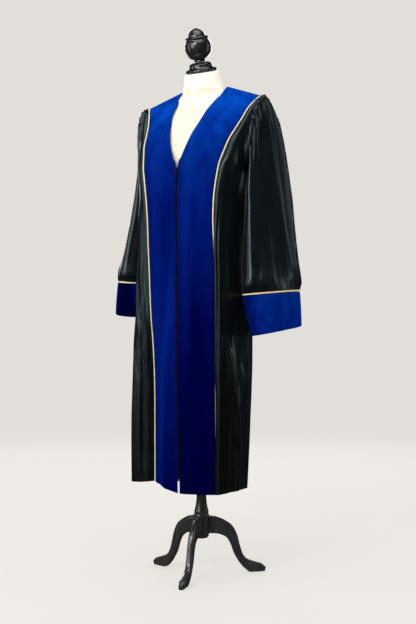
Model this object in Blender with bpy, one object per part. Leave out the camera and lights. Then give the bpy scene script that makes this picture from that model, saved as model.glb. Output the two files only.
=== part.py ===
"""A judicial robe with velvet fronts and cuffs, worn by a limbless dress form on a tripod stand.

Metres, +Z up, the floor at z = 0. The robe's front faces -Y and the wearer's left is +X.
Every table below is in the stand's own frame, whose Z axis is the post's axis. The whole part
is then shifted by STAND_Y, so that its box is centred over the origin.
"""

import math

import bpy
import numpy as np

# Driving dimensions
STAND_Y = 0.01505  # the post's axis, behind the middle of the part's box
SATIN = 0.0020  # wall of the satin panels and sleeves
VELVET = 0.0025  # wall of the velvet panels and cuffs
VELVET_BULGE = 0.007  # how far a velvet front rounds out between its edges
SEAM = 0.0003  # clearance between pieces that are sewn together
ARMHOLE_GAP = 0.0010  # from the body's cloth out to the sleeve's end
PIPING_R = 0.0027
ZIP_HALF_GAP = 0.0034  # half the space between the velvet edges at the zip
ZIP_TOP = 1.226
ZIP_BOTTOM = 0.300  # below it the fronts hang open
HEM_BACK = 0.268
CUFF_WALL_DROP = 0.0066  # sleeve end to cuff end, with the piping between them
CUFF_PIPING_SINK = 0.0006  # how far the cuff piping's middle lies inside the cloth's outer face
PANEL_ROWS = 13  # rows of each panel below the armhole
SLEEVE_COLUMNS = 40
SLEEVE_ROWS = 14
CUFF_COLUMNS = 32
LEG_ANGLES = {"leg_front": -74.5, "leg_right": 170.0, "leg_left": 45.5}
LEG_WIDTH = 0.0195
LEG_RINGS = 21
FINIAL_LEAN = 15.5  # degrees forward
NECK_TOP = (0.0, 0.001, 1.530)
POLE_R = 0.009
BORE_R = 0.0096
POLE_BOTTOM = 0.400
POST_TOP = 0.610
BORE_BOTTOM = 0.290
FORM_BASE = 0.790


def table(names, *rows):
    """A table with named columns, in the order of its first one."""
    return dict(zip(names.split(), np.array(sorted(rows), float).T))


def fold_table(names, *values):
    """Folds with named columns, a row each."""
    return [dict(zip(names.split(), row)) for row in values]


V_EDGE = table(
    "z x y",
    (1.483, 0.0796, 0.0195),
    (1.442, 0.069, -0.023),
    (1.404, 0.061, -0.064),
    (1.368, 0.051, -0.088),
    (1.335, 0.041, -0.1095),
    (1.303, 0.031, -0.125),
    (1.275, 0.022, -0.130),
    (1.252, 0.012, -0.1345),
    (1.232, ZIP_HALF_GAP, -0.1355),
    (1.13, ZIP_HALF_GAP, -0.137),
    (0.65, ZIP_HALF_GAP, -0.137),
    (0.43, ZIP_HALF_GAP, -0.1285),
    (0.26, ZIP_HALF_GAP, -0.1255),
)
PIPING = table(
    "z x y",
    (1.441, 0.203, 0.010),
    (1.41, 0.183, -0.018),
    (1.372, 0.170, -0.041),
    (1.336, 0.160, -0.0655),
    (1.301, 0.151, -0.089),
    (1.268, 0.143, -0.102),
    (1.236, 0.136, -0.1130),
    (1.19, 0.127, -0.1205),
    (1.08, 0.117, -0.120),
    (0.92, 0.1175, -0.111),
    (0.806, 0.116, -0.106),
    (0.694, 0.112, -0.098),
    (0.568, 0.110, -0.093),
    (0.26, 0.111, -0.090),
)
ARMHOLE = table(
    "angle z x front_y back_y",
    (0, 1.443, 0.2060, 0.012, 0.012),
    (30, 1.429, 0.2038, -0.008, 0.032),
    (60, 1.393, 0.1980, -0.028, 0.051),
    (90, 1.340, 0.1900, -0.044, 0.067),
    (120, 1.285, 0.1820, -0.052, 0.075),
    (150, 1.240, 0.1740, -0.042, 0.062),
    (180, 1.222, 0.1700, 0.010, 0.012),
)
# The rows above the side seam: where each one meets the V, the piping, the armhole and the back
YOKE_ROWS = table(
    "row front_z piping_z armhole back_z",
    (0, 1.483, 1.4385, 2, 1.458),
    (1, 1.462, 1.422, 28, 1.443),
    (2, 1.435, 1.400, 52, 1.420),
    (3, 1.402, 1.372, 74, 1.390),
    (4, 1.366, 1.340, 96, 1.355),
    (5, 1.328, 1.306, 118, 1.318),
    (6, 1.290, 1.272, 138, 1.280),
    (7, 1.258, 1.246, 158, 1.245),
    (8, 1.232, 1.222, 180, 1.212),
)
# The cross-section: side seam, the corner it turns in front, and the one behind
SECTIONS = table(
    "z side_x side_y corner_x corner_y rear_x back_y",
    (1.450, 0.203, 0.013, 0.2000, -0.002, 0.140, 0.088),
    (1.390, 0.198, 0.013, 0.1870, -0.044, 0.160, 0.106),
    (1.340, 0.190, 0.012, 0.1815, -0.070, 0.170, 0.113),
    (1.280, 0.180, 0.012, 0.1770, -0.098, 0.172, 0.115),
    (1.222, 0.170, 0.011, 0.1780, -0.124, 0.166, 0.114),
    (1.13, 0.155, 0.018, 0.1640, -0.123, 0.152, 0.112),
    (1.00, 0.150, 0.022, 0.1620, -0.120, 0.150, 0.112),
    (0.85, 0.150, 0.024, 0.1680, -0.122, 0.144, 0.108),
    (0.65, 0.150, 0.027, 0.1820, -0.130, 0.142, 0.106),
    (0.45, 0.146, 0.025, 0.1880, -0.130, 0.133, 0.096),
    (0.26, 0.139, 0.022, 0.1860, -0.122, 0.120, 0.084),
)
# Height of the hem on the wearer's left (1) and right (-1), and how far the side front's corner lifts
HEMS = {
    1: {"front": 0.264, "piping": 0.264, "side": 0.270, "corner_lift": 0.015},
    -1: {"front": 0.264, "piping": 0.287, "side": 0.274, "corner_lift": 0.0},
}
# Folds, a row each: from height to height, across the panel from 0 to 1, and how far they stand out
FOLD_COLUMNS = "top bottom across_top across_bottom width rise_top rise_bottom"
FOLDS = {
    "side_front_left": fold_table(
        FOLD_COLUMNS,
        (1.22, 0.20, 0.15, 0.15, 0.020, 0.006, 0.017),
        (0.82, 0.34, 0.40, 0.80, 0.012, 0.004, 0.007),
        (0.76, 0.58, 0.88, 0.80, 0.016, -0.005, -0.008),
        (1.26, 0.95, 0.62, 0.55, 0.018, 0.005, -0.004),
    ),
    "side_front_right": fold_table(
        FOLD_COLUMNS,
        (1.24, 0.20, 0.52, 0.50, 0.034, 0.020, 0.042),
        (1.00, 0.50, 0.30, 0.06, 0.012, 0.005, 0.008),
        (1.05, 0.30, 0.20, 0.25, 0.016, -0.003, -0.006),
    ),
    "back_left": fold_table(
        FOLD_COLUMNS,
        (1.36, 0.20, 0.18, 0.20, 0.016, 0.003, 0.010),
        (1.36, 0.20, 0.42, 0.44, 0.018, 0.003, 0.012),
        (1.30, 0.20, 0.68, 0.66, 0.018, 0.002, 0.010),
        (1.10, 0.20, 0.88, 0.86, 0.016, 0.002, 0.007),
    ),
    "back_right": fold_table(
        FOLD_COLUMNS,
        (1.36, 0.20, 0.16, 0.15, 0.015, 0.003, 0.009),
        (1.34, 0.20, 0.38, 0.36, 0.019, 0.003, 0.013),
        (1.30, 0.20, 0.62, 0.60, 0.017, 0.002, 0.009),
        (1.14, 0.20, 0.84, 0.82, 0.017, 0.002, 0.008),
    ),
    "front_velvet_left": fold_table(
        FOLD_COLUMNS,
        (1.20, 0.20, 0.20, 0.16, 0.018, 0.002, 0.003),
        (1.42, 0.90, 0.72, 0.80, 0.020, 0.003, 0.001),
    ),
    "front_velvet_right": fold_table(
        FOLD_COLUMNS,
        (1.20, 0.20, 0.45, 0.40, 0.016, 0.002, 0.005),
        (1.42, 0.90, 0.70, 0.75, 0.020, 0.003, 0.001),
    ),
}
# Sleeve rings: the point furthest out, the point next to the body, the reach to front and back,
# and how much lower than their middle the rings hang at the front
SLEEVE = table(
    "ring outer_x outer_z inner_x inner_z front_y back_y front_drop",
    (0, 0.2066, 1.443, 0.1706, 1.222, -0.052, 0.075, 0),
    (1, 0.2160, 1.4385, 0.1805, 1.216, -0.055, 0.085, 0),
    (2, 0.2200, 1.420, 0.1835, 1.206, -0.051, 0.102, 0),
    (3, 0.2245, 1.388, 0.1795, 1.182, -0.042, 0.120, 0),
    (4, 0.2300, 1.342, 0.1755, 1.163, -0.042, 0.134, 0),
    (5, 0.2355, 1.285, 0.1700, 1.145, -0.046, 0.147, 0),
    (6, 0.2430, 1.220, 0.1660, 1.125, -0.051, 0.155, 0),
    (7, 0.2530, 1.150, 0.1625, 1.098, -0.055, 0.159, 0),
    (8, 0.2625, 1.075, 0.1625, 1.050, -0.064, 0.158, 0.001),
    (9, 0.2725, 1.002, 0.1655, 0.990, -0.074, 0.157, 0.003),
    (10, 0.2845, 0.935, 0.1650, 0.928, -0.084, 0.155, 0.005),
    (11, 0.2930, 0.892, 0.1620, 0.882, -0.0925, 0.1565, 0.0056),
    (12, 0.2965, 0.8655, 0.1585, 0.8555, -0.090, 0.1545, 0.0056),
)
CUFF_BOTTOM = {
    "outer_x": 0.307, "outer_z": 0.7531, "inner_x": 0.189, "inner_z": 0.7349,
    "front_y": -0.080, "back_y": 0.136, "front_drop": 0.0106,
}
RIGHT_SLEEVE_LIFT = 0.040  # the wearer's right sleeve hangs this much higher at its cuff
RIGHT_CUFF_LIFT = 0.054
# Sleeve folds: their angle from the outer side towards the front, at the cap, midway and the cuff
SLEEVE_FOLDS = fold_table(
    "cap middle cuff width rise start end",
    (92, 106, 100, 20, 0.009, 0.10, 1.00),
    (44, 36, 6, 14, 0.008, 0.05, 0.95),
    (30, 4, 2, 10, 0.006, 0.05, 0.90),
    (68, 74, 60, 12, -0.005, 0.12, 0.90),
    (-35, -42, -38, 16, 0.008, 0.10, 1.00),
    (-85, -95, -90, 20, 0.008, 0.15, 1.00),
    (-62, -70, -66, 12, -0.005, 0.15, 0.90),
    (140, 138, 135, 14, 0.004, 0.50, 1.00),
    (-140, -135, -138, 16, 0.005, 0.45, 1.00),
)
CAP_GATHER = {"from": -75, "to": 88, "pitch": 15.0, "rise": 0.0030}
FORM = table(
    "z half_width front_y back_y power tilt",
    (0.790, 0.118, -0.066, 0.080, 2.0, 0),
    (0.797, 0.129, -0.076, 0.089, 2.0, 0),
    (0.860, 0.136, -0.090, 0.094, 2.0, 0),
    (0.960, 0.128, -0.092, 0.086, 2.0, 0),
    (1.060, 0.113, -0.090, 0.072, 2.0, 0),
    (1.150, 0.127, -0.110, 0.078, 2.0, 0),
    (1.220, 0.144, -0.1235, 0.087, 2.0, 0),
    (1.270, 0.155, -0.1225, 0.091, 2.0, 0),
    (1.320, 0.163, -0.110, 0.092, 2.0, 0),
    (1.370, 0.168, -0.086, 0.086, 1.7, 0),
    (1.405, 0.170, -0.060, 0.076, 1.35, 0),
    (1.430, 0.169, -0.044, 0.068, 1.0, 0),
    (1.4520, 0.161, -0.032, 0.060, 0.9, 0),
    (1.4575, 0.116, -0.029, 0.062, 0.85, 0),
    (1.466, 0.072, -0.037, 0.066, 1.5, 0),
    (1.482, 0.0635, -0.047, 0.071, 2.0, 3),
    (1.505, 0.0575, -0.048, 0.066, 2.0, 8),
    (1.523, 0.0540, -0.0500, 0.0570, 2.0, 13),
    (1.530, 0.0505, -0.0495, 0.0515, 2.0, 15.5),
)
FORM_COLUMNS = 28
# Turned outlines: radius and height, from the bottom up
POST_PROFILE = (
    (0.012, 0.111), (0.019, 0.1135), (0.0225, 0.119), (0.0235, 0.127), (0.0235, 0.180),
    (0.0215, 0.186), (0.0220, 0.193), (0.0205, 0.198), (0.0165, 0.218), (0.0150, 0.238),
    (0.0155, 0.290), (0.0185, 0.430), (0.0170, 0.560), (0.0200, 0.578), (0.0200, 0.600),
    (0.0175, POST_TOP),
)
NECK_CAP_PROFILE = (
    (0.0400, 0.0006), (0.0480, 0.0025), (0.0495, 0.0060), (0.0480, 0.0100), (0.0400, 0.0125),
    (0.0365, 0.0180), (0.0355, 0.0235), (0.0300, 0.0285), (0.0200, 0.0320),
)
FINIAL_PROFILE = (
    (0.0140, 0.0325), (0.0175, 0.0355), (0.0165, 0.0385), (0.0240, 0.0430), (0.0330, 0.0510),
    (0.0390, 0.0620), (0.0410, 0.0760), (0.0390, 0.0890), (0.0340, 0.0985), (0.0350, 0.1010),
    (0.0362, 0.1035), (0.0340, 0.1060), (0.0275, 0.1085), (0.0265, 0.1120), (0.0225, 0.1190),
    (0.0130, 0.1280), (0.0030, 0.1330),
)
# The collar under the form: radius and depth below its top
COLLAR_PROFILE = ((0.030, 0.016), (0.034, 0.012), (0.034, 0.004), (0.031, 0.0))
# A leg's side view: its upper and its lower edge, as distance from the post's axis and height
LEG = table(
    "station upper_r upper_z lower_r lower_z",
    (0, 0.0238, 0.1790, 0.0238, 0.1250),
    (1, 0.0490, 0.1745, 0.0450, 0.1235),
    (2, 0.0780, 0.1600, 0.0620, 0.1190),
    (3, 0.0960, 0.1460, 0.0800, 0.1080),
    (4, 0.1110, 0.1190, 0.0930, 0.0870),
    (5, 0.1205, 0.0840, 0.1030, 0.0600),
    (6, 0.1300, 0.0570, 0.1160, 0.0370),
    (7, 0.1430, 0.0415, 0.1340, 0.0140),
    (8, 0.1640, 0.0330, 0.1560, 0.0000),
    (9, 0.1890, 0.0240, 0.1850, 0.0000),
    (10, 0.2030, 0.0130, 0.1990, 0.0000),
)
ZIP_TAPE = {"inner": 0.0008, "outer": 0.0135, "thickness": 0.0008}
CHAIN = {"half_width": 0.0026, "thickness": 0.0030, "below_top": 0.003}
SLIDER = {"width": 0.0095, "height": 0.013, "thickness": 0.0042, "stands_off": 0.0009, "chamfer": 0.001}
TAB = {"width": 0.0060, "length": 0.026, "thickness": 0.0016, "below_top": 0.003, "chamfer": 0.0004}


# Curves and sections
def smooth(keys, values, at):
    """Values read between their keys by a cubic that never overshoots them."""
    steps = np.diff(keys)
    slopes = np.diff(values) / steps
    product = slopes[:-1] * slopes[1:]
    total = slopes[:-1] + slopes[1:]
    inner = np.where(product > 0, 2 * product / np.where(total == 0, 1, total), 0)
    slope = np.concatenate([slopes[:1], inner, slopes[-1:]])
    at = np.clip(at, keys[0], keys[-1])
    i = np.clip(np.searchsorted(keys, at) - 1, 0, len(steps) - 1)
    t = (at - keys[i]) / steps[i]
    start = (1 + 2 * t) * (1 - t) ** 2 * values[i] + t * (1 - t) ** 2 * steps[i] * slope[i]
    end = t * t * (3 - 2 * t) * values[i + 1] - t * t * (1 - t) * steps[i] * slope[i + 1]
    return start + end


def read(data, key, at, *columns):
    """The named columns of a table at a value of its key column."""
    found = [smooth(data[key], data[column], at) for column in columns]
    return found[0] if len(found) == 1 else found


def ease(t):
    t = np.clip(t, 0, 1)
    return t * t * (3 - 2 * t)


def unit(vector):
    return vector / np.linalg.norm(vector, axis=-1, keepdims=True)


def bezier(first, corner, last, across, hold=0.7):
    """A curve from first to last that turns the corner between them."""
    t = across[:, None]
    near = first + hold * (corner - first)
    far = last + hold * (corner - last)
    return (1 - t) ** 3 * first + 3 * (1 - t) ** 2 * t * near + 3 * (1 - t) * t * t * far + t**3 * last


def row_heights(side):
    """For each row of a panel: height at the front edge, at the piping, at the side and behind."""
    hem = HEMS[side]
    steps = np.linspace(0, 1, PANEL_ROWS + 1)[1:]
    armpit_z = ARMHOLE["z"][-1]
    middle_z = YOKE_ROWS["back_z"][-1]
    low = [armpit_z + (hem[name] - armpit_z) * steps for name in ("front", "piping", "side")]
    low.append(middle_z + (HEM_BACK - middle_z) * steps)
    armhole_z = read(ARMHOLE, "angle", YOKE_ROWS["armhole"], "z")
    high = (YOKE_ROWS["front_z"], YOKE_ROWS["piping_z"], armhole_z, YOKE_ROWS["back_z"])
    return [np.concatenate(pair) for pair in zip(high, low)]


def v_point(z):
    return np.array([*read(V_EDGE, "z", z, "x", "y"), z])


def piping_point(z):
    return np.array([*read(PIPING, "z", z, "x", "y"), z])


def side_point(row, z, behind):
    """Where a row ends: on the armhole, or on the side seam below it."""
    if row < len(YOKE_ROWS["row"]):
        angle = YOKE_ROWS["armhole"][row]
        x, y, z = read(ARMHOLE, "angle", angle, "x", "back_y" if behind else "front_y", "z")
    else:
        x, y = read(SECTIONS, "z", z, "side_x", "side_y")
    return np.array([x, y + (SEAM if behind else -SEAM), z])


def folded(points, names, across):
    """Each row moved out, level, by the folds that pass through it."""
    flat_edge = 0.08  # share of the panel's width, at each edge, where the folds die out
    edges = ease(across / flat_edge) * ease((1 - across) / flat_edge)
    for fold in FOLDS[names]:
        runs_out = fold["bottom"] < HEM_BACK
        for row in points:
            length = np.linalg.norm(np.diff(row[:, :2], axis=0), axis=1).sum()
            t = np.clip((fold["top"] - row[:, 2]) / (fold["top"] - fold["bottom"]), 0, 1)
            centre = fold["across_top"] + (fold["across_bottom"] - fold["across_top"]) * t
            away = (across - centre) * length / fold["width"]
            rise = (fold["rise_top"] + (fold["rise_bottom"] - fold["rise_top"]) * t) * ease(5 * t)
            rise = rise * edges * np.exp(-away * away) * (1 if runs_out else ease(8 * (1 - t)))
            along = unit(np.gradient(row[:, :2], axis=0))
            out = np.stack([along[:, 1], -along[:, 0]], axis=1)
            out *= np.sign((out * row[:, :2]).sum())
            row[:, :2] += out * rise[:, None]
    return points


def velvet_grid(side, name):
    front, piping, _, _ = row_heights(side)
    across = np.linspace(0, 1, 8)
    rows = []
    for row, (front_z, piping_z) in enumerate(zip(front, piping)):
        start, end = v_point(front_z), piping_point(piping_z)
        tangent = unit(end - start)
        end = end - tangent * (PIPING_R + SEAM)
        out = unit(np.array([tangent[1], -tangent[0], 0.0]))
        bulge = VELVET_BULGE * ease(row / 3) * 4 * across * (1 - across)
        rows.append(start + np.outer(across, end - start) + np.outer(bulge, out))
    return folded(np.array(rows), name, across)


def side_front_grid(side, name):
    front, piping, side_z, _ = row_heights(side)
    across = np.concatenate([np.linspace(0, 0.32, 6)[:-1], np.linspace(0.32, 1, 8)])
    rows = []
    for row in range(1, len(piping)):
        seam = piping_point(piping[row])
        tangent = unit(seam - v_point(front[row]))
        start = seam + tangent * (PIPING_R + SEAM)
        end = side_point(row, side_z[row], behind=False)
        corner_x, corner_y = read(SECTIONS, "z", side_z[row], "corner_x", "corner_y")
        lift = HEMS[side]["corner_lift"] * ease((row - 12) / 9)
        corner = np.array([corner_x, corner_y, (start[2] + end[2]) / 2 + lift])
        rows.append(bezier(start, corner, end, across))
    return folded(np.array(rows), name, across)


def back_half(side, name):
    """From the middle of the back to the armhole and side seam, for the wearer's left."""
    _, _, side_z, back_z = row_heights(side)
    across = np.linspace(0, 1, 16)
    top = np.array([shoulder_point(u) for u in across])
    # The section the first row would have without the neck and shoulders
    rear_x, back_y, corner_z = (SECTIONS[name][-1] for name in ("rear_x", "back_y", "z"))
    start, corner = np.array([0.0, back_y, back_z[0]]), np.array([rear_x, back_y, corner_z])
    plain_top = bezier(start, corner, top[-1], across)
    rows = []
    for row, (edge_z, middle_z) in enumerate(zip(side_z, back_z)):
        rear_x, back_y = read(SECTIONS, "z", middle_z, "rear_x", "back_y")
        start = np.array([0.0, back_y, middle_z])
        end = side_point(row, edge_z, behind=True)
        corner = np.array([rear_x, back_y, (middle_z + edge_z) / 2])
        section = bezier(start, corner, end, across)
        blend = (1 - row / 5) ** 2 if row < 5 else 0
        section[:, 1:] += (top - plain_top)[:, 1:] * blend
        rows.append(section if row else top)
    return folded(np.array(rows), name, across)


def shoulder_point(across):
    """The back panel's top edge: the back neck, then the shoulder seam."""
    neck_end = 0.42
    if across <= neck_end:
        turn = across / neck_end * math.pi / 2
        x = 0.0796 * math.sin(turn)
        y = 0.0200 + 0.0650 * math.cos(turn)
        return np.array([x, y, 1.483 - 0.025 * math.cos(turn) ** 1.5])
    t = (across - neck_end) / (1 - neck_end)
    return np.array([0.0796 + t * 0.1204, 0.0200 - t * 0.0093, 1.483 - t * 0.0415])


def mirrored(points, side):
    return points * np.array([side, 1.0, 1.0])


# Meshes
def material(name, colour, roughness, metallic=0.0):
    made = bpy.data.materials.new(name)
    made.use_nodes = True
    shader = made.node_tree.nodes["Principled BSDF"]
    shader.inputs["Base Color"].default_value = (*colour, 1.0)
    shader.inputs["Roughness"].default_value = roughness
    shader.inputs["Metallic"].default_value = metallic
    made.diffuse_color = (*colour, 1.0)
    return made


def empty(name, parent=None):
    made = bpy.data.objects.new(name, None)
    bpy.context.scene.collection.objects.link(made)
    made.parent = parent
    return made


def signed_volume(points, faces):
    total = 0.0
    for face in faces:
        for i in range(1, len(face) - 1):
            total += np.dot(points[face[0]], np.cross(points[face[i]], points[face[i + 1]]))
    return total


def solid(name, points, faces, look, parent, smooth_angle=35.0):
    """A closed mesh object with its faces turned outwards."""
    points = np.asarray(points, float)
    if signed_volume(points - points.mean(axis=0), faces) < 0:
        faces = [tuple(reversed(face)) for face in faces]
    mesh = bpy.data.meshes.new(name)
    mesh.from_pydata([tuple(p) for p in points], [], faces)
    mesh.materials.append(look)
    mesh.shade_smooth()
    mesh.set_sharp_from_angle(angle=math.radians(smooth_angle))
    made = bpy.data.objects.new(name, mesh)
    bpy.context.scene.collection.objects.link(made)
    made.parent = parent
    return made


def grid_normals(points, wrap, inside):
    """Unit normals of a grid of points, pointing away from the points in inside."""
    if wrap:
        across = np.roll(points, -1, axis=1) - np.roll(points, 1, axis=1)
    else:
        across = np.gradient(points, axis=1)
    normals = unit(np.cross(np.gradient(points, axis=0), across))
    return normals * np.sign((normals * (points - inside)).sum())


def wall_faces(rows, columns, wrap):
    """Faces of a wall whose outer grid comes first and whose inner grid follows."""
    def at(layer, row, column):
        return (layer * rows + row) * columns + column % columns

    last = columns if wrap else columns - 1
    faces = []
    for row in range(rows - 1):
        for column in range(last):
            near = (at(0, row, column), at(0, row, column + 1))
            outer = (*near, at(0, row + 1, column + 1), at(0, row + 1, column))
            faces.append(outer)
            faces.append(tuple(i + rows * columns for i in reversed(outer)))
    for column in range(last):
        for row, turn in ((0, 1), (rows - 1, -1)):
            near = (at(0, row, column), at(1, row, column))
            rim = (*near, at(1, row, column + 1), at(0, row, column + 1))
            faces.append(rim[::turn])
    if not wrap:
        for row in range(rows - 1):
            for column, turn in ((0, 1), (columns - 1, -1)):
                near = (at(0, row, column), at(0, row + 1, column))
                rim = (*near, at(1, row + 1, column), at(1, row, column))
                faces.append(rim[::turn])
    return faces


def cloth(name, outer, thickness, look, parent, inside, wrap=False, level_top=False):
    """A panel or a tube of cloth: its outer points, and the same points moved in by its thickness."""
    normals = grid_normals(outer, wrap, inside)
    if level_top:
        normals[0, :, 1] = 0
        normals[0] = unit(normals[0])
    inner = outer - normals * thickness
    rows, columns = outer.shape[:2]
    points = np.concatenate([outer.reshape(-1, 3), inner.reshape(-1, 3)])
    return solid(name, points, wall_faces(rows, columns, wrap), look, parent)


def tube(name, path, frames, radius, sides, look, parent, closed=False):
    """A round bead along a path. Frames give the two directions across it at each point."""
    angles = np.arange(sides) * 2 * math.pi / sides
    cos, sin = radius * np.cos(angles), radius * np.sin(angles)
    rings = [p + np.outer(cos, a) + np.outer(sin, b) for p, (a, b) in zip(path, frames)]
    count = len(path)
    faces = []
    for ring in range(count if closed else count - 1):
        for i in range(sides):
            j = (i + 1) % sides
            after = (ring + 1) % count
            faces.append((ring * sides + i, ring * sides + j, after * sides + j, after * sides + i))
    if not closed:
        faces.append(tuple(reversed(range(sides))))
        faces.append(tuple((count - 1) * sides + i for i in range(sides)))
    return solid(name, np.concatenate(rings), faces, look, parent)


def loft_faces(rings, sides):
    """Faces of a closed body lofted through rings of points, with a flat cap at each end."""
    faces = [tuple(reversed(range(sides))), tuple((rings - 1) * sides + i for i in range(sides))]
    for ring in range(rings - 1):
        for i in range(sides):
            j = (i + 1) % sides
            low, high = ring * sides, (ring + 1) * sides
            faces.append((low + i, low + j, high + j, high + i))
    return faces


def turned(name, profile, look, parent, sides=24, place=None):
    """A turned solid. Its profile runs up the outside, and may come back down a bore."""
    points = []
    for radius, z in profile:
        for i in range(sides):
            turn = 2 * math.pi * i / sides
            points.append((radius * math.cos(turn), radius * math.sin(turn), z))
    faces = loft_faces(len(profile), sides)
    points = np.array(points)
    if place is not None:
        points = np.array([place(p) for p in points])
    return solid(name, points, faces, look, parent)


def box(name, low, high, look, parent, chamfer=0.0):
    """A plain block between two corners, its upright edges cut off."""
    (x0, y0, z0), (x1, y1, z1) = low, high
    c = chamfer
    outline = [(x0 + c, y0), (x1 - c, y0), (x1, y0 + c), (x1, y1 - c)]
    outline += [(x1 - c, y1), (x0 + c, y1), (x0, y1 - c), (x0, y0 + c)]
    points = [(x, y, z) for z in (z0, z1) for x, y in outline]
    return solid(name, points, loft_faces(2, len(outline)), look, parent)


# The robe
def on_axis(grid, drop=0.0):
    """For each point of a grid, the point of the stand's axis at its height or a drop lower."""
    return grid * (0, 0, 1) - (0, 0, drop)


def body_panels(looks, parent):
    shoulder_drop = 0.05  # the top rows face up as well as out
    for side, word in ((1, "left"), (-1, "right")):
        name = f"front_velvet_{word}"
        grid = mirrored(velvet_grid(side, name), side)
        cloth(name, grid, VELVET, looks["velvet"], parent, on_axis(grid, shoulder_drop), level_top=True)
        name = f"side_front_{word}"
        grid = mirrored(side_front_grid(side, name), side)
        cloth(name, grid, SATIN, looks["satin"], parent, on_axis(grid))
        piping_front(f"piping_front_{word}", side, looks, parent)
    left = back_half(1, "back_left")
    right = mirrored(back_half(-1, "back_right"), -1)
    grid = np.concatenate([right[:, :0:-1], left], axis=1)
    cloth("back", grid, SATIN, looks["satin"], parent, on_axis(grid, shoulder_drop), level_top=True)


def piping_front(name, side, looks, parent):
    front, piping, _, _ = row_heights(side)
    path = np.array([piping_point(z) for z in piping])
    starts = np.array([v_point(z) for z in front])
    across = unit(path - starts)
    along = unit(np.gradient(path, axis=0))
    out = unit(np.cross(across, along))
    frames = [(mirrored(a, side), mirrored(b, side)) for a, b in zip(across, out)]
    tube(name, mirrored(path, side), frames, PIPING_R, 6, looks["piping"], parent)


def ellipse(ring, angles):
    """Points round a sleeve ring: 0 is its outer side and 90 degrees its front."""
    outer = np.array([ring["outer_x"], 0, ring["outer_z"]])
    inner = np.array([ring["inner_x"], 0, ring["inner_z"]])
    middle = (ring["front_y"] + ring["back_y"]) / 2
    reach = (ring["back_y"] - ring["front_y"]) / 2
    centre = (outer + inner) / 2 + np.array([0, middle, 0])
    out = (outer - inner) / 2
    front = np.array([0, -reach, -ring["front_drop"]])
    return centre + np.outer(np.cos(angles), out) + np.outer(np.sin(angles), front), centre


def armhole_ring(angles):
    degrees = np.abs(np.degrees(angles))
    x, z, front_y, back_y = read(ARMHOLE, "angle", degrees, "x", "z", "front_y", "back_y")
    return np.stack([x + ARMHOLE_GAP, np.where(angles > 0, front_y, back_y), z], axis=-1)


def sleeve_angles(count):
    """Angles round the sleeve, closer together over the cap than under the arm."""
    even = -math.pi + 2 * math.pi * (np.arange(count) + 0.5) / count
    return even - 0.55 * np.sin(even)


def sleeve_ring(at, side):
    names = ("outer_x", "outer_z", "inner_x", "inner_z", "front_y", "back_y", "front_drop")
    ring = dict(zip(names, read(SLEEVE, "ring", at, *names)))
    if side < 0:
        share = ease((at - 3) / 9)
        ring["outer_z"] += RIGHT_SLEEVE_LIFT * share
        ring["inner_z"] += RIGHT_SLEEVE_LIFT * share
    return ring


def sleeve_grid(side, angles):
    degrees = np.degrees(angles)
    last = SLEEVE["ring"][-1]
    rows = []
    inside = []
    for share in np.linspace(0, 1, SLEEVE_ROWS):
        ring = sleeve_ring(share * last, side)
        points, centre = ellipse(ring, angles)
        hold = (1 - share / 0.30) ** 2 if share < 0.30 else 0
        first, _ = ellipse(sleeve_ring(0, side), angles)
        points += hold * (armhole_ring(angles) - first)
        out = unit(points - centre)
        rise = gather(degrees, share)
        for fold in SLEEVE_FOLDS:
            angles_along = np.array([fold[name] for name in ("cap", "middle", "cuff")], float)
            at = smooth(np.array([0.0, 0.5, 1.0]), angles_along, share)
            away = (degrees - at + 180) % 360 - 180
            runs_out = 0.35 if fold["end"] >= 1 else 0
            window = ease((share - fold["start"]) / 0.15) * ease((fold["end"] - share) / 0.12 + runs_out)
            rise = rise + fold["rise"] * window * np.exp(-((away / fold["width"]) ** 2))
        rise = rise * ease((share + 0.02) / 0.08) * (1 - 0.8 * ease((share - 0.93) / 0.07))
        rows.append(points + out * rise[:, None])
        inside.append(np.broadcast_to(centre, points.shape))
    return np.array(rows), np.array(inside)


def gather(degrees, share):
    """The small pleats that ease the cap into the armhole."""
    window = ease((degrees - CAP_GATHER["from"]) / 20) * ease((CAP_GATHER["to"] - degrees) / 20)
    fade = ease(share / 0.05) * (1 - ease((share - 0.08) / 0.25))
    return CAP_GATHER["rise"] * window * fade * np.cos(2 * math.pi * degrees / CAP_GATHER["pitch"])


def cuff_grid(side, angles):
    top = sleeve_ring(SLEEVE["ring"][-1], side)
    bottom = dict(CUFF_BOTTOM)
    for name in ("outer_z", "inner_z"):
        top[name] -= CUFF_WALL_DROP
        bottom[name] += RIGHT_CUFF_LIFT if side < 0 else 0
    rows = []
    inside = []
    for share in np.linspace(0, 1, 3):
        ring = {name: top[name] + (bottom[name] - top[name]) * share for name in top}
        points, centre = ellipse(ring, angles)
        rows.append(points)
        inside.append(np.broadcast_to(centre, points.shape))
    return np.array(rows), np.array(inside)


def sleeves(looks, parent):
    angles = -math.pi + 2 * math.pi * np.arange(CUFF_COLUMNS) / CUFF_COLUMNS
    for side, word in ((1, "left"), (-1, "right")):
        grids = [mirrored(points, side) for points in sleeve_grid(side, sleeve_angles(SLEEVE_COLUMNS))]
        cloth(f"sleeve_{word}", grids[0], SATIN, looks["satin"], parent, grids[1], wrap=True)
        grids = [mirrored(points, side) for points in cuff_grid(side, angles)]
        cloth(f"cuff_{word}", grids[0], VELVET, looks["velvet"], parent, grids[1], wrap=True)
        path, centre = ellipse(sleeve_ring(SLEEVE["ring"][-1], side), angles)
        path[:, 2] -= CUFF_WALL_DROP / 2
        out = unit((path - centre) * (1, 1, 0))
        path -= out * CUFF_PIPING_SINK
        frames = [(mirrored(a, side), np.array([0.0, 0.0, 1.0])) for a in out]
        path = mirrored(path, side)
        tube(f"piping_cuff_{word}", path, frames, PIPING_R, 6, looks["piping"], parent, closed=True)


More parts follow.
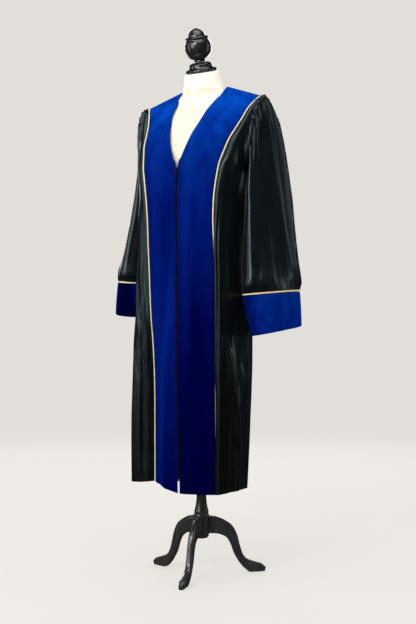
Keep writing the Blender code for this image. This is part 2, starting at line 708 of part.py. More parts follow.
# The zip
def zip_strip(name, side, x0, x1, behind, thickness, top, bottom, look, parent):
    """A strip that follows the edge of the velvet on one side, a distance behind its outer face."""
    panel = velvet_grid(side, "front_velvet_left" if side > 0 else "front_velvet_right")[::-1]
    heights = [top, *(z for z in panel[::-1, 0, 2] if bottom < z < top), bottom]
    front = []
    for z in heights:
        near_y = np.interp(z, panel[:, 0, 2], panel[:, 0, 1])
        far_y = np.interp(z, panel[:, 1, 2], panel[:, 1, 1])
        far_x = np.interp(z, panel[:, 1, 2], panel[:, 1, 0])
        slope = (far_y - near_y) / (far_x - ZIP_HALF_GAP)
        front.append([(side * x, near_y + slope * (x - ZIP_HALF_GAP) + behind, z) for x in (x0, x1)])
    front = np.array(front)
    points = np.concatenate([front.reshape(-1, 3), (front + (0, thickness, 0)).reshape(-1, 3)])
    return solid(name, points, wall_faces(len(heights), 2, False), look, parent)


def zip_fastener(looks, parent):
    """Tapes behind the velvet edges, the chain between them and the slider at the top."""
    behind = VELVET + 2 * SEAM
    for side, word in ((1, "left"), (-1, "right")):
        name = f"zip_tape_{word}"
        inner, outer, thickness = ZIP_TAPE["inner"], ZIP_TAPE["outer"], ZIP_TAPE["thickness"]
        zip_strip(name, side, inner, outer, behind, thickness, ZIP_TOP, ZIP_BOTTOM, looks["zip"], parent)
    half, thickness = CHAIN["half_width"], CHAIN["thickness"]
    chain_top = ZIP_TOP - CHAIN["below_top"]
    chain_behind = behind - thickness - 2 * SEAM
    heights = [chain_top, *(z for z in row_heights(1)[0] if ZIP_BOTTOM < z < chain_top), ZIP_BOTTOM]
    front_y = [read(V_EDGE, "z", z, "y") + chain_behind for z in heights]
    front = np.array([[(x, y, z) for x in (-half, half)] for y, z in zip(front_y, heights)])
    points = np.concatenate([front.reshape(-1, 3), (front + (0, thickness, 0)).reshape(-1, 3)])
    solid("zip_chain", points, wall_faces(len(heights), 2, False), looks["zip"], parent)
    slider_bottom = ZIP_TOP - SLIDER["height"]
    slider_back = read(V_EDGE, "z", slider_bottom, "y") - SLIDER["stands_off"]
    slider_front = slider_back - SLIDER["thickness"]
    low = (-SLIDER["width"] / 2, slider_front, slider_bottom)
    high = (SLIDER["width"] / 2, slider_back, ZIP_TOP)
    box("zip_slider", low, high, looks["zip_metal"], parent, SLIDER["chamfer"])
    return slider_front


def pull_tab(slider_front, looks, parent):
    """The tab, about its pivot on the slider's face."""
    pivot = empty("pull_tab_axis", parent)
    pivot.location = (0.0, slider_front - SEAM - TAB["thickness"] / 2, ZIP_TOP - TAB["below_top"])
    half = TAB["width"] / 2
    thick = TAB["thickness"] / 2
    low = (-half, -thick, -TAB["length"] + thick)
    box("zip_pull_tab", low, (half, thick, thick), looks["zip_metal"], pivot, TAB["chamfer"])


# The dress form and its stand
def dress_form(looks, parent):
    """The torso and neck, lofted through ovals whose power says how round they are."""
    angles = 2 * math.pi * np.arange(FORM_COLUMNS) / FORM_COLUMNS
    cos, sin = np.cos(angles), np.sin(angles)
    rings = []
    for z, half, front, back, power, tilt in zip(*FORM.values()):
        size = (np.abs(cos) ** power + np.abs(sin) ** power) ** (-1 / power)
        x = half * cos * size
        y = (back - front) / 2 * sin * size
        rings.append(np.stack([x, (front + back) / 2 + y, z + y * math.tan(math.radians(tilt))], axis=-1))
    faces = loft_faces(len(rings), FORM_COLUMNS)
    solid("dress_form", np.concatenate(rings), faces, looks["form"], parent)


def leaned(point):
    """A point of the neck cap or finial, leaned forward about the top of the neck."""
    lean = math.radians(FINIAL_LEAN)
    x, y, z = point
    turned_y = y * math.cos(lean) - z * math.sin(lean)
    turned_z = y * math.sin(lean) + z * math.cos(lean)
    return (NECK_TOP[0] + x, NECK_TOP[1] + turned_y, NECK_TOP[2] + turned_z)


def upper_stand(looks, parent):
    turned("neck_cap", NECK_CAP_PROFILE, looks["gloss"], parent, 24, leaned)
    turned("finial", FINIAL_PROFILE, looks["gloss"], parent, 20, leaned)
    collar = [(radius, FORM_BASE - SEAM - drop) for radius, drop in COLLAR_PROFILE]
    turned("form_collar", collar, looks["stand"], parent)


def pole(looks, parent):
    top = FORM_BASE - COLLAR_PROFILE[0][1] - 2 * SEAM
    profile = ((POLE_R - 0.001, POLE_BOTTOM), (POLE_R, POLE_BOTTOM + 0.001), (POLE_R, top))
    turned("pole", profile, looks["steel"], parent, 20)


def tripod(looks, parent):
    bore = ((BORE_R + 0.0008, POST_TOP + 0.0006), (BORE_R, POST_TOP - 0.001), (BORE_R, BORE_BOTTOM))
    turned("post", POST_PROFILE + bore, looks["stand"], parent, 20)
    for name, angle in LEG_ANGLES.items():
        leg(name, math.radians(angle), looks["stand"], parent)


def leg(name, angle, look, parent):
    """A leg lofted from its side view, with softened edges and a flat sole."""
    along = np.array([math.cos(angle), math.sin(angle), 0.0])
    across = np.array([-math.sin(angle), math.cos(angle), 0.0])
    up = np.array([0.0, 0.0, 1.0])
    stations = np.linspace(0, LEG["station"][-1], LEG_RINGS)
    edges = read(LEG, "station", stations, "upper_r", "upper_z", "lower_r", "lower_z")
    half = ((0.62, 1.0), (1.0, 0.80), (1.0, 0.20), (0.62, 0.0))
    corners = half + tuple((-u, v) for u, v in reversed(half))
    rings = []
    for ring, (top_r, top_z, low_r, low_z) in enumerate(zip(*edges)):
        width = LEG_WIDTH / 2 * (1 - 0.35 * ease((ring - (LEG_RINGS - 4)) / 3))
        high = along * top_r + up * top_z
        low = along * low_r + up * low_z
        rings.append([low + (high - low) * v + across * (u * width) for u, v in corners])
    solid(name, np.concatenate(rings), loft_faces(len(rings), len(corners)), look, parent)


def main():
    for old in list(bpy.data.objects):
        bpy.data.objects.remove(old, do_unlink=True)
    looks = {
        "velvet": material("royal blue velvet", (0.004, 0.035, 0.32), 0.85),
        "satin": material("black satin", (0.006, 0.007, 0.009), 0.35),
        "piping": material("pale gold piping", (0.66, 0.52, 0.24), 0.45),
        "zip": material("black zip tape", (0.008, 0.008, 0.010), 0.6),
        "zip_metal": material("black zip slider", (0.010, 0.010, 0.012), 0.3, 0.6),
        "form": material("cream jersey", (0.86, 0.80, 0.68), 0.8),
        "gloss": material("black gloss lacquer", (0.008, 0.008, 0.009), 0.15),
        "stand": material("black satin lacquer", (0.020, 0.020, 0.021), 0.35),
        "steel": material("steel pole", (0.35, 0.35, 0.36), 0.3, 1.0),
    }
    stand = empty("stand_frame")
    stand.location = (0.0, STAND_Y, 0.0)
    tripod(looks, stand)
    height = empty("form_height_axis", stand)
    pole(looks, height)
    swivel = empty("form_swivel_axis", height)
    dress_form(looks, swivel)
    upper_stand(looks, swivel)
    body_panels(looks, swivel)
    sleeves(looks, swivel)
    pull_tab(zip_fastener(looks, swivel), looks, swivel)


main()
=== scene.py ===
"""Looks for the judicial robe on its dress form: fine cloth, sewing, zip teeth and materials.

Metres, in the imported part's frame. The tables repeat the part's own, in the stand's frame, whose
Z axis is the post's axis; STAND_Y moves each finished piece into the part's frame. The dress
form's shoulders and three folds of the sleeves are reworked here, so they differ from the part's.
"""

import math

import bpy
import numpy as np
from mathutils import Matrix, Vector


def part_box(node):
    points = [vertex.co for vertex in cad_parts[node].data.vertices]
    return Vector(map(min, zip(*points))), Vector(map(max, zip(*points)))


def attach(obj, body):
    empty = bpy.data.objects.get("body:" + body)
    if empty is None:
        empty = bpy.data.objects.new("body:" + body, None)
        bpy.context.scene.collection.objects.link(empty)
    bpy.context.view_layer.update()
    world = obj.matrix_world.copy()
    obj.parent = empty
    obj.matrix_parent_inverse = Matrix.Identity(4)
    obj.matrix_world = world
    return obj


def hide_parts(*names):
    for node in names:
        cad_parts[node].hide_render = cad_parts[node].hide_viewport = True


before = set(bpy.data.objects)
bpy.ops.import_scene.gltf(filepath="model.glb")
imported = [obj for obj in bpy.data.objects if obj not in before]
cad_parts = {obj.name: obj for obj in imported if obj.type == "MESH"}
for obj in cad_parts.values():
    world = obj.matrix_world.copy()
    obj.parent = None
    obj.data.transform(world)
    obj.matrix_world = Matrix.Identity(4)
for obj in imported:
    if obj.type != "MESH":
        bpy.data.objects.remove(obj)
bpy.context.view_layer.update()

STAND_Y = 0.01505
SEAM = 0.0003
PIPING_R = 0.0027
PIPING_LOOK_R = 0.0020
ZIP_HALF_GAP = 0.0034
ZIP_TOP = 1.226
ZIP_BOTTOM = 0.300
HEM_BACK = 0.268
CUFF_WALL_DROP = 0.0066
VELVET_BULGE = 0.007
PANEL_ROWS = 13
ARMHOLE_GAP = 0.0010
SATIN_WALL = 0.0009
VELVET_WALL = 0.0018
SIDE_LAP = 0.0004
HEM_TURN = 0.025
HEM_STITCH = 0.0005
HEM_STITCH_HALF = 0.0016
SEED = 7
SIDES = ((1, "left"), (-1, "right"))
# How far down the axis the cloth's outward direction is taken from, where panels lean inward
AXIS_DROP = 0.05
# Rolled upright edges: depth at the first edge, at the last one, and reach
VELVET_ROLL = (0.0012, 0.0014, 0.006)
SATIN_ROLL = (0.0012, 0.0003, 0.005)
CORNER_HOLD = 0.7
EDGE_PLACES = np.array([0.0, 0.003, 0.009])
# The back's top edge: share of it that is neck, where the shoulder seam starts, and its run
NECK_SHARE = 0.42
NECK_CORNER = (0.0796, 0.0200, 1.483)
NECK_DEPTH = 0.0650
NECK_DIP = 0.025
SHOULDER_RUN = (0.1204, -0.0093, -0.0415)
# Rows and columns of the fine cloth, and how many loose creases a panel gets
VELVET_GRID = (230, 34)
SIDE_GRID = (220, 62)
BACK_GRID = (230, 150)
VELVET_LOOSE = 5
SIDE_LOOSE = 14
BACK_LOOSE = 26
SLEEVE_COLUMNS = 180
SLEEVE_ROWS = 140
CUFF_ROWS = 26
# Degrees round the sleeve between pleats at the cap and gathers over the cuff
PLEAT_PITCH = 8.2
GATHER_PITCH = 11.0
CUFF_BELLY = 0.0010
CUFF_ROLL = 0.0012
PIPING_SIDES = 10
PIPING_STATIONS = 420
PIPING_TUCK = 0.0020
PIPING_SINK = 0.0004
FORM_COLUMNS = 112
# Zip teeth: distance, depth behind the edge, and half heights at places across the zip
TOOTH_PITCH = 0.0021
TOOTH_DEPTH = 0.00085
TOOTH_SECTIONS = ((0.0026, 0.00052), (0.0009, 0.00062), (-0.0006, 0.0004))
# Shares of the slider's half width and height, and of the tab's half width for its slot
SLIDER_OUTLINE = ((0.62, 0.0), (0.80, 0.25), (0.98, 0.62), (1.0, 0.88), (0.72, 1.0))
TAB_SLOT = 0.45
# Half the section of a leg: shares of its half width and height
LEG_EDGE = (
    (0.30, 1.0), (0.62, 0.985), (0.84, 0.93), (0.96, 0.84), (1.0, 0.72), (1.0, 0.28),
    (0.96, 0.14), (0.84, 0.05), (0.62, 0.0), (0.30, 0.0),
)
# Nodes of the part that show as they are, with a look
KEPT_NODES = {"form_collar": "stand", "pole": "steel", "zip_tape_left": "zip", "zip_tape_right": "zip"}
# Colours of the velvet, evenly from its darkest to its brightest, for its nap and for the painted light that
# makes it bright above and navy below
VELVET_NAP_AND_PAINTED_LIGHT = (
    (0.0001, 0.0001, 0.008), (0.0002, 0.0008, 0.046), (0.0004, 0.0066, 0.116),
    (0.0005, 0.0187, 0.192), (0.0006, 0.047, 0.35),
)
# The photo's camera: degrees to the robe's left, place from the stand's axis, and focal length
PHOTO_ANGLE = 32.5
CAMERA = {"away": 3.3, "right": 0.0201, "up": 0.8}
CAMERA_LENS = 62.4
# Lamps: place to the camera's right, toward it and up, height aimed at, size and power
LAMPS = (
    ("key", (-2.4, 2.3, 1.95), 0.95, (1.3, 2.4), 33.0),
    ("round", (-1.25, 2.5, 2.55), 1.5, (0.22, 0.22), 22.0),
    ("top", (0.0, 0.9, 3.4), 0.8, (2.2, 2.4), 33.0),
    ("side", (2.65, -0.3, 1.5), 0.9, (0.16, 2.4), 4.8),
    ("left strip", (-2.6, 0.2, 1.5), 0.9, (0.3, 2.4), 6.5),
    ("back left", (0.9, -2.9, 2.1), 0.9, (0.6, 2.0), 24.0),
    ("back right", (-1.3, -2.8, 1.9), 0.9, (0.4, 2.0), 16.0),
)
# Backdrop: half width, length of its floor behind the stand, radius of its bend, and top
BACKDROP_SIZE = 14.0
BACKDROP_FLOOR = 4.5
BACKDROP_BEND = 2.5
BACKDROP_TOP = 9.0


def table(names, *rows):
    """A table with named columns, in the order of its first one."""
    return dict(zip(names.split(), np.array(sorted(rows), float).T))


def fold_table(names, *values):
    """Folds with named columns, a row each."""
    return [dict(zip(names.split(), row)) for row in values]


def fold_tables(names, panels):
    return {panel: fold_table(names, *rows) for panel, rows in panels.items()}


V_EDGE = table(
    "z x y",
    (1.483, 0.0796, 0.0195),
    (1.442, 0.069, -0.023),
    (1.404, 0.061, -0.064),
    (1.368, 0.051, -0.088),
    (1.335, 0.041, -0.1095),
    (1.303, 0.031, -0.125),
    (1.275, 0.022, -0.13),
    (1.252, 0.012, -0.1345),
    (1.232, ZIP_HALF_GAP, -0.1355),
    (1.13, ZIP_HALF_GAP, -0.137),
    (0.65, ZIP_HALF_GAP, -0.137),
    (0.43, ZIP_HALF_GAP, -0.1285),
    (0.26, ZIP_HALF_GAP, -0.1255),
)
PIPING = table(
    "z x y",
    (1.441, 0.203, 0.01),
    (1.41, 0.183, -0.018),
    (1.372, 0.17, -0.041),
    (1.336, 0.16, -0.0655),
    (1.301, 0.151, -0.089),
    (1.268, 0.143, -0.102),
    (1.236, 0.136, -0.113),
    (1.19, 0.127, -0.1205),
    (1.08, 0.117, -0.12),
    (0.92, 0.1175, -0.111),
    (0.806, 0.116, -0.106),
    (0.694, 0.112, -0.098),
    (0.568, 0.11, -0.093),
    (0.26, 0.111, -0.09),
)
ARMHOLE = table(
    "angle z x front_y back_y",
    (0, 1.443, 0.206, 0.012, 0.012),
    (30, 1.429, 0.2038, -0.008, 0.032),
    (60, 1.393, 0.198, -0.028, 0.051),
    (90, 1.34, 0.19, -0.044, 0.067),
    (120, 1.285, 0.182, -0.052, 0.075),
    (150, 1.24, 0.174, -0.042, 0.062),
    (180, 1.222, 0.17, 0.01, 0.012),
)
YOKE_ROWS = table(
    "row front_z piping_z armhole back_z",
    (0, 1.483, 1.4385, 2, 1.458),
    (1, 1.462, 1.422, 28, 1.443),
    (2, 1.435, 1.4, 52, 1.42),
    (3, 1.402, 1.372, 74, 1.39),
    (4, 1.366, 1.34, 96, 1.355),
    (5, 1.328, 1.306, 118, 1.318),
    (6, 1.29, 1.272, 138, 1.28),
    (7, 1.258, 1.246, 158, 1.245),
    (8, 1.232, 1.222, 180, 1.212),
)
SECTIONS = table(
    "z side_x side_y corner_x corner_y rear_x back_y",
    (1.45, 0.203, 0.013, 0.2, -0.002, 0.14, 0.088),
    (1.39, 0.198, 0.013, 0.187, -0.044, 0.16, 0.106),
    (1.34, 0.19, 0.012, 0.1815, -0.07, 0.17, 0.113),
    (1.28, 0.18, 0.012, 0.177, -0.098, 0.172, 0.115),
    (1.222, 0.17, 0.011, 0.178, -0.124, 0.166, 0.114),
    (1.13, 0.155, 0.018, 0.164, -0.123, 0.152, 0.112),
    (1, 0.15, 0.022, 0.162, -0.12, 0.15, 0.112),
    (0.85, 0.15, 0.024, 0.168, -0.122, 0.144, 0.108),
    (0.65, 0.15, 0.027, 0.182, -0.13, 0.142, 0.106),
    (0.45, 0.146, 0.025, 0.188, -0.13, 0.133, 0.096),
    (0.26, 0.139, 0.022, 0.186, -0.122, 0.12, 0.084),
)
HEMS = {
    1: {"front": 0.264, "piping": 0.264, "side": 0.270, "corner_lift": 0.015},
    -1: {"front": 0.264, "piping": 0.287, "side": 0.274, "corner_lift": 0.0},
}
FOLDS = fold_tables("top bottom across_top across_bottom width rise_top rise_bottom", {
    "side_front_left": (
        (1.22, 0.2, 0.15, 0.15, 0.02, 0.006, 0.017),
        (0.82, 0.34, 0.4, 0.8, 0.012, 0.004, 0.007),
        (0.76, 0.58, 0.88, 0.8, 0.016, -0.005, -0.008),
        (1.26, 0.95, 0.62, 0.55, 0.018, 0.005, -0.004),
    ),
    "side_front_right": (
        (1.24, 0.2, 0.52, 0.5, 0.034, 0.02, 0.042),
        (1, 0.5, 0.3, 0.06, 0.012, 0.005, 0.008),
        (1.05, 0.3, 0.2, 0.25, 0.016, -0.003, -0.006),
    ),
    "back_left": (
        (1.36, 0.2, 0.18, 0.2, 0.016, 0.003, 0.01),
        (1.36, 0.2, 0.42, 0.44, 0.018, 0.003, 0.012),
        (1.3, 0.2, 0.68, 0.66, 0.018, 0.002, 0.01),
        (1.1, 0.2, 0.88, 0.86, 0.016, 0.002, 0.007),
    ),
    "back_right": (
        (1.36, 0.2, 0.16, 0.15, 0.015, 0.003, 0.009),
        (1.34, 0.2, 0.38, 0.36, 0.019, 0.003, 0.013),
        (1.3, 0.2, 0.62, 0.6, 0.017, 0.002, 0.009),
        (1.14, 0.2, 0.84, 0.82, 0.017, 0.002, 0.008),
    ),
    "front_velvet_left": (
        (1.2, 0.2, 0.2, 0.16, 0.018, 0.002, 0.003),
        (1.42, 0.9, 0.72, 0.8, 0.02, 0.003, 0.001),
    ),
    "front_velvet_right": (
        (1.2, 0.2, 0.45, 0.4, 0.016, 0.002, 0.005),
        (1.42, 0.9, 0.7, 0.75, 0.02, 0.003, 0.001),
    ),
})
SLEEVE = table(
    "ring outer_x outer_z inner_x inner_z front_y back_y front_drop",
    (0, 0.2066, 1.443, 0.1706, 1.222, -0.052, 0.075, 0),
    (1, 0.216, 1.4385, 0.1805, 1.216, -0.055, 0.085, 0),
    (2, 0.22, 1.42, 0.1835, 1.206, -0.051, 0.102, 0),
    (3, 0.2245, 1.388, 0.1795, 1.182, -0.042, 0.12, 0),
    (4, 0.23, 1.342, 0.1755, 1.163, -0.042, 0.134, 0),
    (5, 0.2355, 1.285, 0.17, 1.145, -0.046, 0.147, 0),
    (6, 0.243, 1.22, 0.166, 1.125, -0.051, 0.155, 0),
    (7, 0.253, 1.15, 0.1625, 1.098, -0.055, 0.159, 0),
    (8, 0.2625, 1.075, 0.1625, 1.05, -0.064, 0.158, 0.001),
    (9, 0.2725, 1.002, 0.1655, 0.99, -0.074, 0.157, 0.003),
    (10, 0.2845, 0.935, 0.165, 0.928, -0.084, 0.155, 0.005),
    (11, 0.293, 0.892, 0.162, 0.882, -0.0925, 0.1565, 0.0056),
    (12, 0.2965, 0.8655, 0.1585, 0.8555, -0.09, 0.1545, 0.0056),
)
CUFF_BOTTOM = {
    "outer_x": 0.307, "outer_z": 0.7531, "inner_x": 0.189, "inner_z": 0.7349,
    "front_y": -0.080, "back_y": 0.136, "front_drop": 0.0106,
}
RIGHT_SLEEVE_LIFT = 0.040
RIGHT_CUFF_LIFT = 0.054
SLEEVE_FOLDS = fold_table(
    "cap middle cuff width rise start end",
    (92, 106, 100, 20, 0.009, 0.1, 1),
    (30, 17, -6, 12, 0.0075, 0.12, 0.95),
    (6, -22, -16, 9, 0.0065, 0.14, 0.92),
    (68, 74, 60, 12, -0.005, 0.12, 0.9),
    (-44, -50, -46, 13, 0.008, 0.1, 1),
    (-85, -95, -90, 20, 0.008, 0.15, 1),
    (-62, -70, -66, 12, -0.005, 0.15, 0.9),
    (140, 138, 135, 14, 0.004, 0.5, 1),
    (-140, -135, -138, 16, 0.005, 0.45, 1),
)
CAP_GATHER = {"from": -75, "to": 88, "pitch": 15.0, "rise": 0.0030}
FORM = table(
    "z half_width front_y back_y power tilt",
    (0.79, 0.118, -0.066, 0.08, 2, 0),
    (0.797, 0.129, -0.076, 0.089, 2, 0),
    (0.86, 0.136, -0.09, 0.094, 2, 0),
    (0.96, 0.128, -0.092, 0.086, 2, 0),
    (1.06, 0.113, -0.09, 0.072, 2, 0),
    (1.15, 0.127, -0.11, 0.078, 2, 0),
    (1.22, 0.144, -0.1235, 0.087, 2, 0),
    (1.27, 0.155, -0.1225, 0.091, 2, 0),
    (1.32, 0.163, -0.11, 0.092, 2, 0),
    (1.37, 0.168, -0.088, 0.086, 1.7, 0),
    (1.405, 0.17, -0.065, 0.076, 1.35, 0),
    (1.43, 0.168, -0.051, 0.069, 1, 0),
    (1.446, 0.152, -0.0445, 0.063, 0.95, 0),
    (1.458, 0.104, -0.043, 0.063, 1, 0),
    (1.468, 0.076, -0.044, 0.066, 1.4, 1),
    (1.484, 0.064, -0.0458, 0.07, 2, 3),
    (1.505, 0.0575, -0.048, 0.066, 2, 8),
    (1.523, 0.054, -0.05, 0.057, 2, 13),
    (1.53, 0.0505, -0.0495, 0.0515, 2, 15.5),
)
FINIAL_LEAN = 15.5
NECK_TOP = (0.0, 0.001, 1.530)
BORE_R = 0.0096
POST_TOP = 0.610
BORE_BOTTOM = 0.290
POST_PROFILE = (
    (0.012, 0.111), (0.019, 0.1135), (0.0225, 0.119), (0.0235, 0.127), (0.0235, 0.18),
    (0.0215, 0.186), (0.022, 0.193), (0.0205, 0.198), (0.0165, 0.218), (0.015, 0.238),
    (0.0155, 0.29), (0.0185, 0.43), (0.017, 0.56), (0.02, 0.578), (0.02, 0.6),
    (0.0175, POST_TOP),
)
NECK_CAP_PROFILE = (
    (0.04, 0.0006), (0.048, 0.0025), (0.0495, 0.006), (0.048, 0.01), (0.04, 0.0125),
    (0.0365, 0.018), (0.0355, 0.0235), (0.03, 0.0285), (0.02, 0.032),
)
FINIAL_PROFILE = (
    (0.014, 0.0325), (0.0175, 0.0355), (0.0165, 0.0385), (0.024, 0.043), (0.033, 0.051),
    (0.039, 0.062), (0.041, 0.076), (0.039, 0.089), (0.034, 0.0985), (0.035, 0.101),
    (0.0362, 0.1035), (0.034, 0.106), (0.0275, 0.1085), (0.0265, 0.112), (0.0225, 0.119),
    (0.013, 0.128), (0.003, 0.133),
)
LEG = table(
    "station upper_r upper_z lower_r lower_z",
    (0, 0.0238, 0.179, 0.0238, 0.125),
    (1, 0.049, 0.1745, 0.045, 0.1235),
    (2, 0.078, 0.16, 0.062, 0.119),
    (3, 0.096, 0.146, 0.08, 0.108),
    (4, 0.111, 0.119, 0.093, 0.087),
    (5, 0.1205, 0.084, 0.103, 0.06),
    (6, 0.13, 0.057, 0.116, 0.037),
    (7, 0.143, 0.0415, 0.134, 0.014),
    (8, 0.164, 0.033, 0.156, 0),
    (9, 0.189, 0.024, 0.185, 0),
    (10, 0.203, 0.013, 0.199, 0),
)
LEG_ANGLES = {"leg_front": -74.5, "leg_right": 170.0, "leg_left": 45.5}
LEG_WIDTH = 0.0195

# Creases that only the looks have: heights, places across the panel, half width, rise and bow
CREASES = fold_tables("top bottom across_top across_bottom width rise bow", {
    "side_front_left": (
        (1.26, 0.2, 0.055, 0.06, 0.005, 0.0018, 0),
        (1.22, 0.2, 0.12, 0.125, 0.0035, -0.0026, 0),
        (1.24, 0.2, 0.19, 0.195, 0.0055, 0.002, 0),
        (0.8, 0.35, 0.27, 0.82, 0.0055, 0.0034, -0.1),
        (0.8, 0.36, 0.34, 0.92, 0.009, -0.0026, -0.1),
        (0.715, 0.635, 0.66, 1, 0.006, 0.0026, 0.03),
        (0.7, 0.605, 0.72, 1, 0.006, -0.0032, -0.02),
        (0.665, 0.56, 0.78, 1.02, 0.0065, 0.0024, -0.02),
        (1.22, 1.06, 0.16, 0.62, 0.006, 0.0009, 0.04),
        (1.33, 1.1, 0.72, 0.44, 0.01, 0.0012, 0.06),
        (1.2, 0.8, 0.8, 0.7, 0.014, 0.0014, 0.02),
        (0.98, 0.52, 0.34, 0.3, 0.011, -0.002, -0.03),
        (0.62, 0.2, 0.62, 0.6, 0.012, 0.003, 0.03),
        (0.5, 0.2, 0.4, 0.42, 0.009, -0.0024, 0),
    ),
    "side_front_right": (
        (1.34, 1.05, 0.68, 0.36, 0.008, 0.0026, 0.05),
        (1.3, 0.8, 0.86, 0.74, 0.01, 0.0026, 0.02),
        (0.98, 0.62, 0.3, 0.1, 0.006, 0.0034, 0.05),
        (0.92, 0.55, 0.36, 0.2, 0.007, -0.0026, 0.04),
        (0.8, 0.2, 0.7, 0.74, 0.014, 0.0036, 0),
        (0.6, 0.2, 0.12, 0.1, 0.008, 0.0024, -0.02),
        (0.55, 0.2, 0.88, 0.9, 0.01, -0.0024, 0),
    ),
    "back": (
        (1.44, 1.26, 0.3, 0.36, 0.01, 0.0024, 0.02),
        (1.43, 1.22, 0.72, 0.64, 0.01, 0.0022, -0.02),
        (1.4, 0.9, 0.08, 0.16, 0.011, 0.003, 0.01),
        (1.38, 0.88, 0.93, 0.83, 0.012, 0.0028, 0),
        (1.3, 0.6, 0.46, 0.49, 0.014, 0.0026, -0.01),
        (1.05, 0.3, 0.55, 0.56, 0.009, -0.0026, 0.01),
        (1, 0.2, 0.24, 0.22, 0.01, 0.003, 0.01),
        (0.92, 0.2, 0.78, 0.8, 0.011, 0.0028, -0.01),
        (0.8, 0.2, 0.38, 0.37, 0.012, 0.0024, 0),
        (0.7, 0.2, 0.66, 0.67, 0.008, -0.0022, 0),
        (0.85, 0.35, 0.12, 0.09, 0.008, -0.0024, 0),
    ),
    "front_velvet_left": (
        (1.42, 1.27, 0.25, 0.12, 0.014, 0.0014, 0.04),
        (1.36, 1.08, 0.6, 0.42, 0.016, 0.0016, 0.03),
        (1.2, 0.62, 0.72, 0.74, 0.012, 0.0012, 0.02),
        (0.9, 0.3, 0.42, 0.36, 0.018, 0.0014, 0),
    ),
    "front_velvet_right": (
        (1.4, 1.22, 0.32, 0.16, 0.014, 0.0014, 0.04),
        (1.18, 0.8, 0.34, 0.52, 0.013, 0.0018, 0.02),
        (0.86, 0.36, 0.6, 0.34, 0.014, 0.0022, -0.04),
        (0.58, 0.2, 0.76, 0.72, 0.012, -0.0014, 0),
    ),
})
# How far the satin laps over the front piping, in half gaps, down each side
PIPING_COVER = {
    1: table(
        "z cover",
        (0.25, 1.8), (0.37, 1.8), (0.42, 1.25), (0.6, 1.25), (0.66, 1.8), (0.98, 1.8), (1.08, 0), (1.46, 0)),
    -1: table("z cover", (0.25, 0.95), (0.9, 0.95), (1.1, 0.3), (1.2, 0), (1.46, 0)),
}
# Sleeve creases: degrees at the cap, middle and cuff, shares of the length, half width and rise
SLEEVE_CREASES = fold_table(
    "cap middle cuff start end width rise",
    (80, 92, 84, 0.14, 1, 9, 0.003),
    (104, 114, 106, 0.16, 0.96, 6, -0.0022),
    (50, 52, 50, 0.18, 0.94, 19, -0.0074),
    (44, 36, 28, 0.5, 1, 15, -0.0034),
    (26, 17, -10, 0.16, 0.95, 3, 0.003),
    (15, 7, -14, 0.2, 0.9, 3.6, -0.0042),
    (4, -23, -17, 0.18, 0.94, 3.2, 0.0028),
    (-8, -33, -30, 0.2, 0.95, 4, -0.0036),
    (-60, -64, -58, 0.14, 0.96, 6, 0.0028),
    (-78, -80, -74, 0.2, 0.96, 6, -0.003),
    (-104, -112, -108, 0.22, 1, 7, 0.003),
    (128, 132, 130, 0.35, 1, 7, -0.0026),
    (162, 158, 160, 0.3, 1, 8, 0.0026),
    (-150, -152, -150, 0.3, 1, 8, 0.0024),
    (44, 42, 36, 0.62, 1, 5, 0.0016),
    (60, 58, 62, 0.7, 1, 4, 0.0018),
)


# Curves and sections
def smooth(keys, values, at):
    """Values read between their keys by a cubic that never overshoots them."""
    steps = np.diff(keys)
    slopes = np.diff(values) / steps
    product = slopes[:-1] * slopes[1:]
    total = slopes[:-1] + slopes[1:]
    inner = np.where(product > 0, 2 * product / np.where(total == 0, 1, total), 0)
    slope = np.concatenate([slopes[:1], inner, slopes[-1:]])
    at = np.clip(at, keys[0], keys[-1])
    i = np.clip(np.searchsorted(keys, at) - 1, 0, len(steps) - 1)
    t = (at - keys[i]) / steps[i]
    start = (1 + 2 * t) * (1 - t) ** 2 * values[i] + t * (1 - t) ** 2 * steps[i] * slope[i]
    end = t * t * (3 - 2 * t) * values[i + 1] - t * t * (1 - t) * steps[i] * slope[i + 1]
    return start + end


def read(data, key, at, *columns):
    """The named columns of a table at a value of its key column."""
    found = [smooth(data[key], data[column], at) for column in columns]
    return found[0] if len(found) == 1 else found


def ease(t):
    t = np.clip(t, 0, 1)
    return t * t * (3 - 2 * t)


def unit(vector):
    return vector / np.linalg.norm(vector, axis=-1, keepdims=True)


def bezier(first, corner, last, across):
    """A curve from first to last that turns the corner between them."""
    t = across[:, None]
    near = first + CORNER_HOLD * (corner - first)
    far = last + CORNER_HOLD * (corner - last)
    return (1 - t) ** 3 * first + 3 * (1 - t) ** 2 * t * near + 3 * (1 - t) * t * t * far + t**3 * last


def row_heights(side):
    """For each row of a panel: height at the front edge, at the piping, at the side and behind."""
    hem = HEMS[side]
    steps = np.linspace(0, 1, PANEL_ROWS + 1)[1:]
    armpit_z = ARMHOLE["z"][-1]
    middle_z = YOKE_ROWS["back_z"][-1]
    low = [armpit_z + (hem[name] - armpit_z) * steps for name in ("front", "piping", "side")]
    low.append(middle_z + (HEM_BACK - middle_z) * steps)
    armhole_z = read(ARMHOLE, "angle", YOKE_ROWS["armhole"], "z")
    high = (YOKE_ROWS["front_z"], YOKE_ROWS["piping_z"], armhole_z, YOKE_ROWS["back_z"])
    return [np.concatenate(pair) for pair in zip(high, low)]


def v_point(z):
    return np.array([*read(V_EDGE, "z", z, "x", "y"), z])


def piping_point(z):
    return np.array([*read(PIPING, "z", z, "x", "y"), z])


def side_point(row, z, behind):
    """Where a row ends: on the armhole, or on the side seam below it."""
    if row < len(YOKE_ROWS["row"]):
        angle = YOKE_ROWS["armhole"][row]
        x, y, z = read(ARMHOLE, "angle", angle, "x", "back_y" if behind else "front_y", "z")
    else:
        x, y = read(SECTIONS, "z", z, "side_x", "side_y")
    return np.array([x, y + (-SIDE_LAP if behind else SIDE_LAP), z])


